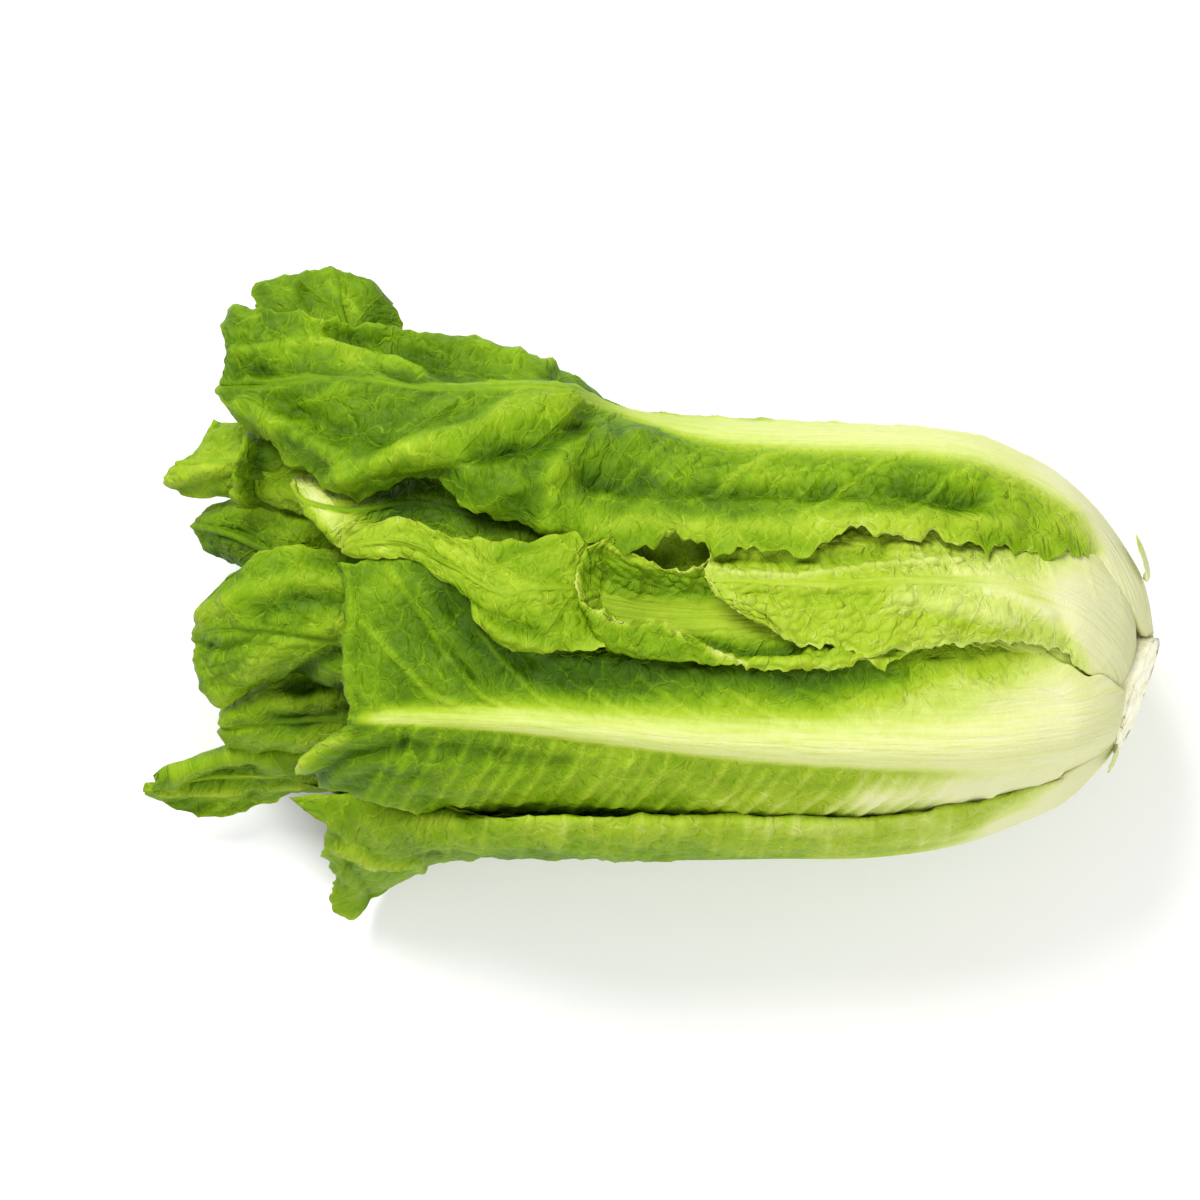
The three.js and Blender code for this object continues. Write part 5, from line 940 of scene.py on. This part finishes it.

# strokes are (points and width as seen from above, height in mm, tint with positive darker). Most that raise a ridge
# are painted paler and most that sink a valley darker: painted highlight and painted shade. Flat dark ones are painted
# shadow where leaves overlap, flat pale ones make a patch paler (mostly the white base), thin ones are pale veins.
LOOKS = {
    "leaf_top": dict(
        fine=(280, 112), ribout=0.22, sink=1.9, soft=((1.5, 6), (0.85, 4)), white=(0.02, 0.30), tone=(0.68, 0.79), ribtone=((0, 0.08), (0.35, 0.14), (0.48, 0.20), (0.58, 0.36), (0.66, 0.60), (0.8, 0.72), (1, 0.78)),
        rib=((0, 5, 19), (0.3, 4.2, 21), (0.5, 3.0, 16), (0.60, 1.8, 8), (0.67, 1.0, 2.6), (0.8, 0.7, 1.6), (1, 0.3, 1.0)),
        vein=19.0, slant=0.9, bul=-0.4, cell=(12, 9), crk=0.75, crk_l=(21, 13), crest_light_paint=0.12, fold=1.6, fold_l=(60, 20), ruf=1.6, teeth=2.4, teeth_l=11, start=0.05,
        # the fold strokes paint highlight on their ridges and shade in their valleys; the thin ones are pale veins and
        # the broad pale ones at the right whiten the base
        strokes=(
            ((590, 478, 640, 486, 700, 484, 800, 490, 900, 494, 980, 500), 12, -3.6, 0.16),
            ((600, 524, 700, 528, 800, 530, 900, 524, 1010, 526), 12, 2.2, -0.12),
            ((640, 436, 760, 450, 880, 458, 980, 474), 12, 2.0, 0.03),
            ((570, 398, 480, 425, 400, 452, 330, 482), 11, 3.2, -0.11),
            ((585, 425, 500, 452, 430, 478, 380, 500), 10, -3.4, 0.10),
            ((560, 470, 500, 492, 440, 512), 10, 2.2, -0.06),
            ((560, 372, 470, 366, 400, 352, 330, 335), 9, -2.6, 0.08),
            ((520, 352, 440, 342, 370, 326), 7, 1.8, -0.07),
            ((236, 352, 300, 344, 350, 352, 420, 372), 7, 2.2, -0.08),
            ((240, 372, 300, 366, 370, 380), 7, -2.0, 0.07),
            ((245, 405, 290, 430, 330, 455, 352, 480), 9, 2.4, -0.09),
            ((275, 400, 330, 425, 380, 440), 9, -2.2, 0.07),
            ((690, 500, 740, 470, 800, 450), 2.4, 0.5, -0.10),
            ((800, 520, 850, 480, 900, 455), 2.4, 0.5, -0.10),
            ((600, 500, 640, 462, 690, 430), 2.4, 0.5, -0.10),
            ((900, 515, 945, 480, 1000, 462), 2.4, 0.5, -0.10),
            ((600, 530, 700, 530, 800, 532, 900, 526, 1000, 528, 1098, 538), 12, 0, -0.07),
            ((1126, 470, 1144, 520, 1154, 580, 1160, 640), 26, 0, -0.55), ((1060, 470, 1090, 500, 1110, 525), 26, 0, -0.16),
            ((1112, 562, 1124, 580, 1140, 620), 12, 0, -0.30),
        ),
        quilt=(((690, 456, 800, 466, 900, 474, 1010, 490), 19, 0.8), ((570, 440, 480, 470, 400, 470, 300, 440), 34, 0.25), ((240, 330, 340, 345, 450, 375), 24, 0.15)),
        lobes=((672, 541, 18, -4.5), (700, 541, 10, -2.5), (733, 538, 11, -4), (850, 539, 26, -3.6), (932, 540, 8, -3), (1010, 543, 14, -2.5), (1072, 543, 9, -2),
               (709, 557, 8, 3), (640, 557, 16, 1.5), (578, 551, 9, 2.5), (800, 558, 20, 1.5), (985, 561, 9, 4), (925, 553, 9, 2), (1049, 549, 8, 2.5), (1092, 552, 8, 3))),
    "leaf_front": dict(
        # the lower half below the midrib is painted paler, painted light that makes up for the shade it lies in
        fine=(240, 98), soft=((1.35, 2.2), (0.85, 6)), white=(0.05, 0.42), tone=(0.66, 0.90), underside_painted_light=-0.16, ribtone=((0, 0.02), (0.35, 0.10), (0.6, 0.16), (0.8, 0.26), (1, 0.35)),
        rib=((0, 4.5, 13), (0.2, 4.5, 10), (0.4, 4.0, 8), (0.6, 3.4, 6), (0.75, 2.6, 4.6), (0.9, 1.6, 3.0), (1, 0.8, 1.8)),
        vein=22.0, vein_h=0.35, vein_low=12.0, slant=1.2, bul=-0.3, cell=(11, 9), crk=0.6, crk_l=(18, 12), fold=1.0, ruf=1.2, teeth=1.5,
        strokes=(
            ((520, 716, 480, 696, 445, 655, 415, 605, 388, 568), 2.8, 0.9, -0.17),
            ((580, 722, 540, 700, 505, 665, 478, 632), 2.6, 0.8, -0.15),
            ((470, 712, 430, 694, 395, 655, 362, 622), 2.6, 0.8, -0.14),
            ((650, 728, 610, 705, 575, 680, 552, 664), 2.6, 0.5, -0.10),
            ((730, 736, 690, 712, 655, 690, 640, 678), 2.6, 0.5, -0.10),
            ((810, 740, 775, 718, 740, 698, 720, 688), 2.6, 0.5, -0.10),
            ((890, 742, 855, 720, 825, 700, 800, 690), 2.6, 0.4, -0.09),
            ((960, 735, 930, 712, 900, 690, 880, 672), 3.0, 0.5, -0.08),
            ((372, 575, 366, 620, 372, 690), 24, 0, -0.14), ((405, 575, 415, 615, 440, 660), 24, 0, -0.12),
            # these dents and the groove under the folded tip are painted darker, painted shade, and the tip's edge
            # paler, painted highlight
            ((445, 600, 480, 640, 530, 668), 11, -2.4, 0.10),
            ((405, 590, 430, 640, 470, 680), 7, -1.8, 0.10),
            ((520, 668, 600, 690, 700, 700), 12, -1.8, 0.08),
            ((345, 560, 352, 610, 346, 660, 352, 705), 5, 1.2, -0.12),
            ((285, 775, 312, 756, 348, 734), 5, 1.8, -0.22), ((300, 792, 322, 774, 352, 756, 400, 748), 7, -2.6, 0.16), ((345, 786, 380, 776, 430, 782), 9, -1.6, 0.10),
            ((400, 742, 480, 752, 560, 762), 9, -1.6, 0.10),
            ((870, 796, 940, 792, 1020, 786, 1100, 768), 17, 0, -0.30),
            ((700, 800, 830, 806, 960, 804), 16, 0, -0.12),
            ((860, 696, 960, 692, 1060, 690), 22, 0, -0.14),
            # painted shadow along the top of the blade, under the edges of the leaves above it
            ((560, 668, 640, 668, 720, 672, 800, 680, 900, 676), 15, 0, 0.20), ((470, 640, 520, 668, 580, 684), 12, 0, 0.06),
        ) + combed(400, 1010, 23, RIB_EDGE, 816, 46, 2.6, 0.5, -0.11),
        quilt=(((350, 590, 390, 640, 440, 680), 24, 0.5), ((560, 690, 700, 700, 840, 704), 10, 0.2)),
        lobes=((1046, 658, 16, 2.5), (1078, 676, 16, 3.5), (1104, 684, 12, 3)),
        tips=((336, 572, 7, 2.6), (352, 590, 7, -2.6), (336, 606, 7, 3.0), (352, 624, 6, -2.6), (334, 642, 8, 3.0), (352, 662, 7, -2.2), (337, 682, 7, 2.6), (354, 702, 6, -2.2), (342, 714, 5, 2))),
    "leaf_bottom": dict(
        fine=(210, 84), white=(0.08, 0.40), tone=(0.48, 0.68), ribtone=PLAIN, rib=((0, 2, 12), (0.3, 2.0, 8), (0.6, 1.0, 4), (1, 0.3, 1.5)),
        vein=15.0, slant=0.9, vein_h=0.2, veinlight=0.08, bul=-0.3, crk=0.7, crk_l=(11, 12), fold=0.9, ruf=1.1, teeth=1.1,
        quilt=(((420, 838, 560, 840, 700, 842, 860, 842), 16, 0.5), ((345, 840, 400, 850), 20, 0.4)),
        # ridge strokes painted paler and valley strokes darker; a pale band along the roll's crest is a painted
        # highlight and a darker band along its foot painted shade; the broad pale one by the stem whitens the base; the
        # combed lines are pale veins
        strokes=(((338, 846, 372, 862, 430, 868, 470, 858), 4, 1.6, -0.16), ((345, 862, 365, 885, 372, 905), 5, -1.2, 0.08), ((330, 822, 360, 850, 375, 866), 3, 0.8, -0.14), ((380, 830, 430, 838, 480, 840), 10, 1.2, -0.05), ((1010, 830, 1060, 812, 1100, 785), 30, 0, -0.34), ((420, 818, 560, 822, 700, 826, 850, 828, 930, 820), 8, 0, -0.13), ((420, 856, 600, 858, 800, 860), 9, 0, 0.12)
        ) + combed(432, 960, 31, ROLL_EDGE, 858, 9, 2.4, 0.35, -0.08),
        tips=((298, 816, 9, 3.5), (319, 824, 8, -4.5), (322, 850, 9, 2.0), (334, 880, 9, -2.0), (338, 905, 8, 1.5))),
    "leaf_under": dict(fine=(120, 60), white=(0.05, 0.30), tone=(0.60, 0.78), bul=-0.3, fold=0.4, crk=0.25, ruf=1.0),
    "leaf_back": dict(fine=(120, 50), white=(0.05, 0.30), tone=(0.62, 0.80), bul=-0.4, fold=0.8, crk=0.5, ruf=1.2),
    "leaf_short_front": dict(
        fine=(170, 84), white=(0.25, 0.42), tone=(0.38, 0.50), ribtone=PLAIN, rib=((0, 0.3, 9), (0.12, 0.8, 8), (0.25, 0.8, 6), (0.4, 0.4, 2.5), (1, 0.2, 1.2)), vein=16.0, slant=0.7,
        cell=(4.4, 3.6), bul=0.95, plain=(0.34, 0.62), crk=0.35, crk_l=(13, 9), fold=0.8, fold_l=(40, 12), ruf=1.0, ruf_l=11, teeth=1.5, teeth_l=7, vein_h=0.25, crest_light_paint=0.03,
        # ridges painted paler and valleys darker, painted highlight and painted shade; the short flat dark stroke
        # darkens the lower margin, painted shade, and the broad pale one whitens the base
        strokes=(((712, 566, 740, 574, 800, 576, 870, 566, 960, 560), 3, 0.9, -0.10), ((720, 556, 800, 560, 880, 552), 8, -2.0, 0.12), ((740, 590, 800, 596, 870, 596), 7, -1.2, 0.10),
                 ((900, 600, 960, 606, 1010, 622), 10, 1.5, -0.10), ((960, 575, 1010, 590, 1050, 612), 9, 1.2, -0.14), ((930, 620, 980, 628, 1020, 636), 6, 0, 0.08), ((1000, 585, 1060, 600, 1100, 620), 26, 0, -0.16)),
        lobes=((730, 590, 8, -1.5), (778, 632, 10, 2), (871, 647, 9, 2.5), (800, 640, 8, 1.5), (830, 640, 10, -1.5), (905, 644, 8, -1.2))),
    "leaf_cup": dict(
        fine=(190, 92), white=(0.0, 0.25), tone=(0.56, 0.66), ribtone=((0, 0.3), (0.5, 0.46), (0.85, 0.52), (1, 0.62)), rib=((0, 1.8, 8), (0.5, 2.0, 8.5), (0.8, 2.0, 8), (0.95, 1.2, 5), (1, 0.5, 2)), vein=10.0,
        cell=(4.0, 3.4), bul=1.1, crk=0.5, fold=0.4, ruf=0.7, ruf_l=8, teeth=1.2, teeth_l=6, crest_light_paint=0.05,
        # the rim strokes make the rim paler; the deep groove, the dents and the broad band inside the rim are painted
        # darker, painted shade, and the low ridge paler, painted highlight
        strokes=(((575, 572, 577, 592, 590, 608, 606, 621, 640, 626, 662, 617, 668, 627, 700, 642, 716, 656, 745, 664), 3.2, 1.2, -0.26),
                 ((596, 606, 620, 616, 650, 612), 4, -1.5, 0.10), ((690, 636, 740, 650, 800, 650), 6, -3.0, 0.28), ((600, 596, 660, 604, 720, 612, 780, 618), 5, 0, -0.02),
                 ((580, 548, 604, 541, 625, 556, 665, 571, 700, 566), 3, 0.8, -0.18), ((600, 566, 650, 582, 710, 590), 16, 0, 0.10), ((760, 662, 820, 664, 884, 660), 6, 1.0, -0.10)),
        lobes=((662, 617, 7, 3), (605, 541, 7, 2.5), (706, 560, 7, 2.5), (660, 571, 12, -2), (885, 668, 8, 3), (845, 672, 8, 1.5), (860, 664, 6, -1))),
    "leaf_left_mid": dict(
        fine=(184, 76), white=(0.0, 0.2), tone=(0.60, 0.63), ribtone=PLAIN, rib=THIN, vein=17.0, slant=0.8, cell=(12, 9), bul=0.35, crk=0.7, crk_l=(18, 11), fold=1.2, ruf=0.8, teeth=1.0, quilt=(((600, 600, 500, 596, 420, 540), 26, 0.5),),
        # ridges painted paler and valleys darker: painted highlight and painted shade along the folds
        strokes=(((352, 549, 390, 544, 420, 548, 455, 568, 490, 600), 5, -0.4, 0.02), ((366, 528, 380, 521, 410, 520, 432, 528), 5, 0.2, -0.12), ((372, 540, 420, 534, 470, 552, 520, 580), 10, -0.6, -0.02), ((440, 545, 490, 566, 540, 600), 9, 1.2, -0.06),
                 ((450, 590, 490, 616, 540, 636), 9, -1.8, 0.10), ((500, 556, 530, 540), 8, -1.6, 0.12), ((470, 612, 500, 636, 550, 648), 6, 1.6, -0.10))),
    "leaf_inner_top": dict(
        # the deep green near the base and the broad dark stroke are painted shade where it lies deep under leaf_top;
        # the strokes at the folded tip make it paler
        fine=(160, 64), white=(0.0, 0.2), tone=(0.92, 0.66), ribtone=PLAIN, rib=THIN, vein=16.0, cell=(12, 9), bul=0.25, crk=0.6, fold=0.9, ruf=0.7,
        strokes=(((660, 560, 560, 530, 470, 510, 400, 505), 26, 0, 0.30), ((300, 482, 318, 504, 336, 532, 348, 552), 10, 0.3, -0.30), ((314, 492, 340, 512, 362, 532), 12, 0.3, -0.26))),
    "leaf_left_big": dict(
        fine=(170, 80), white=(0.0, 0.2), tone=(0.78, 0.74), ribtone=PLAIN, rib=THIN, vein=15.0, slant=1.0, bul=-0.35, crk=0.75, crk_l=(18, 15), crest_light_paint=0.10, fold=1.4, fold_l=(34, 30), ruf=1.2, teeth=1.2, quilt=(((330, 600, 270, 630, 220, 660), 40, 0.6),),
        # ridges painted paler and valleys darker: painted highlight and painted shade along the folds and in the gap at
        # the right
        strokes=(((340, 583, 290, 577, 240, 592, 205, 612), 10, 1.6, -0.14), ((345, 604, 300, 598, 262, 612), 8, -1.6, 0.14), ((340, 622, 300, 636, 260, 664, 225, 690), 11, 1.6, -0.12),
                 ((345, 650, 315, 664, 290, 684), 9, -2.4, 0.18), ((345, 690, 320, 700, 300, 720), 14, -1.5, 0.22), ((250, 640, 220, 650, 195, 645), 6, -1.6, 0.06))),
    "leaf_left_low": dict(
        fine=(160, 72), white=(0.0, 0.2), tone=(0.78, 0.74), ribtone=PLAIN, rib=THIN, vein=14.0, bul=-0.35, crk=0.75, crk_l=(15, 13), crest_light_paint=0.10, fold=1.2, fold_l=(30, 26), ruf=1.2,
        # ridges painted paler and valleys darker: painted highlight and painted shade along the folds
        strokes=(((340, 692, 300, 702, 262, 700), 8, 1.4, -0.12), ((350, 708, 310, 722, 282, 720), 7, -1.8, 0.14), ((340, 732, 300, 738, 250, 736), 8, 1.2, -0.10), ((350, 668, 320, 684, 290, 688), 9, -2.0, 0.18))),
    "leaf_left_tip": dict(
        fine=(166, 60), white=(0.0, 0.2), tone=(0.80, 0.71), ribtone=((0, 0.5), (0.6, 0.7), (0.8, 0.62), (1, 0.6)), rib=THIN, vein=13.0, bul=0.3, crk=0.8, crk_l=(15, 10), crest_light_paint=0.10, fold=1.5, ruf=1.6,
        # ridges painted paler and valleys darker: painted highlight and painted shade along the folds
        strokes=(((310, 778, 260, 786, 210, 788, 160, 786), 3, 1.2, -0.14), ((240, 752, 205, 764, 170, 778), 6, 2.2, -0.12), ((250, 768, 215, 776, 185, 782), 6, -2.4, 0.12), ((240, 795, 215, 806, 200, 816), 5, 1.8, -0.12), ((262, 782, 232, 800), 6, -2.0, 0.10))),
    "leaf_upper_left": dict(
        fine=(140, 56), white=(0.0, 0.2), tone=(0.76, 0.62), ribtone=PLAIN, rib=THIN, vein=13.0, bul=0.3, crk=0.9, fold=1.2, ruf=1.2,
        # ridge painted paler and valley darker: painted highlight and painted shade along the fold
        strokes=(((240, 458, 205, 468, 170, 482), 5, 1.6, -0.10), ((236, 476, 205, 486, 178, 494), 6, -1.6, 0.06))),
    "leaf_upper_fold": dict(
        fine=(136, 54), white=(0.0, 0.2), tone=(0.82, 0.80), ribtone=PLAIN, rib=THIN, bul=0.3, crk=0.9, fold=1.0,
        # ridge painted paler and valley darker: painted highlight and painted shade along the fold
        strokes=(((236, 432, 232, 462, 236, 492, 244, 508), 4, 1.6, -0.12), ((262, 432, 258, 462, 262, 496), 9, -2.6, 0.16))),
    "leaf_left_dark": dict(
        fine=(140, 60), white=(0.0, 0.2), tone=(0.80, 0.76), ribtone=PLAIN, rib=THIN, bul=0.35, crk=0.75, crk_l=(14, 12), crest_light_paint=0.10, fold=1.2, fold_l=(30, 24),
        # ridges painted paler and valleys darker: painted highlight and painted shade along the folds
        strokes=(((260, 510, 230, 512, 205, 520), 6, 0.9, -0.08), ((255, 530, 225, 534, 200, 540), 7, -1.1, 0.06), ((330, 520, 300, 530, 280, 550), 9, 1.2, -0.06), ((340, 545, 310, 552, 290, 562), 9, -1.6, 0.10))),
    "leaf_tip_up": dict(
        fine=(150, 62), white=(0.0, 0.2), tone=(0.78, 0.78), ribtone=PLAIN, rib=THIN, vein=15.0, bul=0.3, crk=0.9, fold=1.2, ruf=1.3,
        # ridge painted paler and dent darker: painted highlight and painted shade
        strokes=(((330, 285, 345, 300, 360, 318), 4, 1.0, -0.12), ((300, 290, 310, 305), 6, -1.6, 0.06))),
    "leaf_back_low": dict(fine=(110, 50), white=(0.0, 0.2), tone=(0.70, 0.78), bul=-0.4, crk=0.4, fold=0.6, ruf=1.2),
    "leaf_under_side": dict(fine=(110, 50), white=(0.0, 0.2), tone=(0.70, 0.78), bul=-0.4, crk=0.3, fold=0.6, ruf=1.2),
}
KINDS = {
    "heart": dict(fine=(66, 28), white=(0.05, 0.5), tone=(0.38, 0.50), ribtone=((0, 0.05), (1, 0.25)), vein=9.0, cell=(7, 5), bul=0.5, fold=0.6, ruf=1.0, ruf_l=10, teeth=0.6),
    "stub": dict(fine=(14, 22), white=(0.2, 1.3), tone=(0.2, 0.3), ribtone=((0, 0), (1, 0.2)), vein=6.0, bul=0.1, crk=0.1, fold=0.15, fold_l=(8, 4), ruf=0.3, ruf_l=4, ruf_w=2, teeth=0.5, teeth_l=3, start=-0.2, blade=0.6, vein_h=0.1),
}

skin = leaf_material("leaf_skin")
for number, leaf in enumerate(LEAVES):
    look = dict(BASE, **KINDS.get(leaf["kind"], {}), **LOOKS.get(leaf["name"], {}))
    p, out, inn, data = leaf_mesh(leaf, look, 100 + 50 * number)
    piece = closed(leaf["name"] + "_piece", out, inn, data)
    piece.data.materials.append(skin)
    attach(piece, "root")
    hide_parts(leaf["name"])

stem = stem_object()
stem.data.materials.append(stem_material())
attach(stem, "root")
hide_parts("stem")

# ---------------------------------------------------------------- floor, light and camera
floor_mesh = bpy.data.meshes.new("floor")
floor_mesh.from_pydata([(-3, -3, 0), (3, -3, 0), (3, 3, 0), (-3, 3, 0)], [], [(0, 1, 2, 3)])
floor = bpy.data.objects.new("floor", floor_mesh)
bpy.context.scene.collection.objects.link(floor)
floor_mesh.materials.append(plain_material("pale_floor", (0.90, 0.90, 0.89), 0.9))


def area(name, where, aim, width, power, colour=(1, 1, 1)):
    data = bpy.data.lights.new(name, "AREA")
    data.shape = "DISK"
    data.size = width
    data.energy = power
    data.color = colour
    obj = bpy.data.objects.new(name, data)
    obj.location = where
    obj.rotation_euler = (Vector(aim) - Vector(where)).to_track_quat("-Z", "Y").to_euler()
    bpy.context.scene.collection.objects.link(obj)


area("key", (-0.45, 0.90, 1.10), (0, 0, 0.05), 0.80, 25.0)
area("fill", (0.25, -1.0, 1.1), (0, 0, 0.05), 1.2, 13.0)

world = bpy.data.worlds.new("studio")
world.use_nodes = True
world.node_tree.nodes["Background"].inputs[0].default_value = (1, 1, 1, 1)
world.node_tree.nodes["Background"].inputs[1].default_value = 0.58
bpy.context.scene.world = world

eye = bpy.data.cameras.new("camera")
eye.lens = 144.0
eye.sensor_width = 36.0
eye.clip_end = 20
eye.dof.use_dof = False
camera = bpy.data.objects.new("camera", eye)
camera.location = (np.array([EYE[0], EYE[1], EYE[2]]) + SHIFT) / 1000.0
camera.rotation_euler = (0, 0, 0)
bpy.context.scene.collection.objects.link(camera)
bpy.context.scene.camera = camera
bpy.context.scene.view_settings.view_transform = "Standard"
bpy.context.scene.view_settings.look = "None"
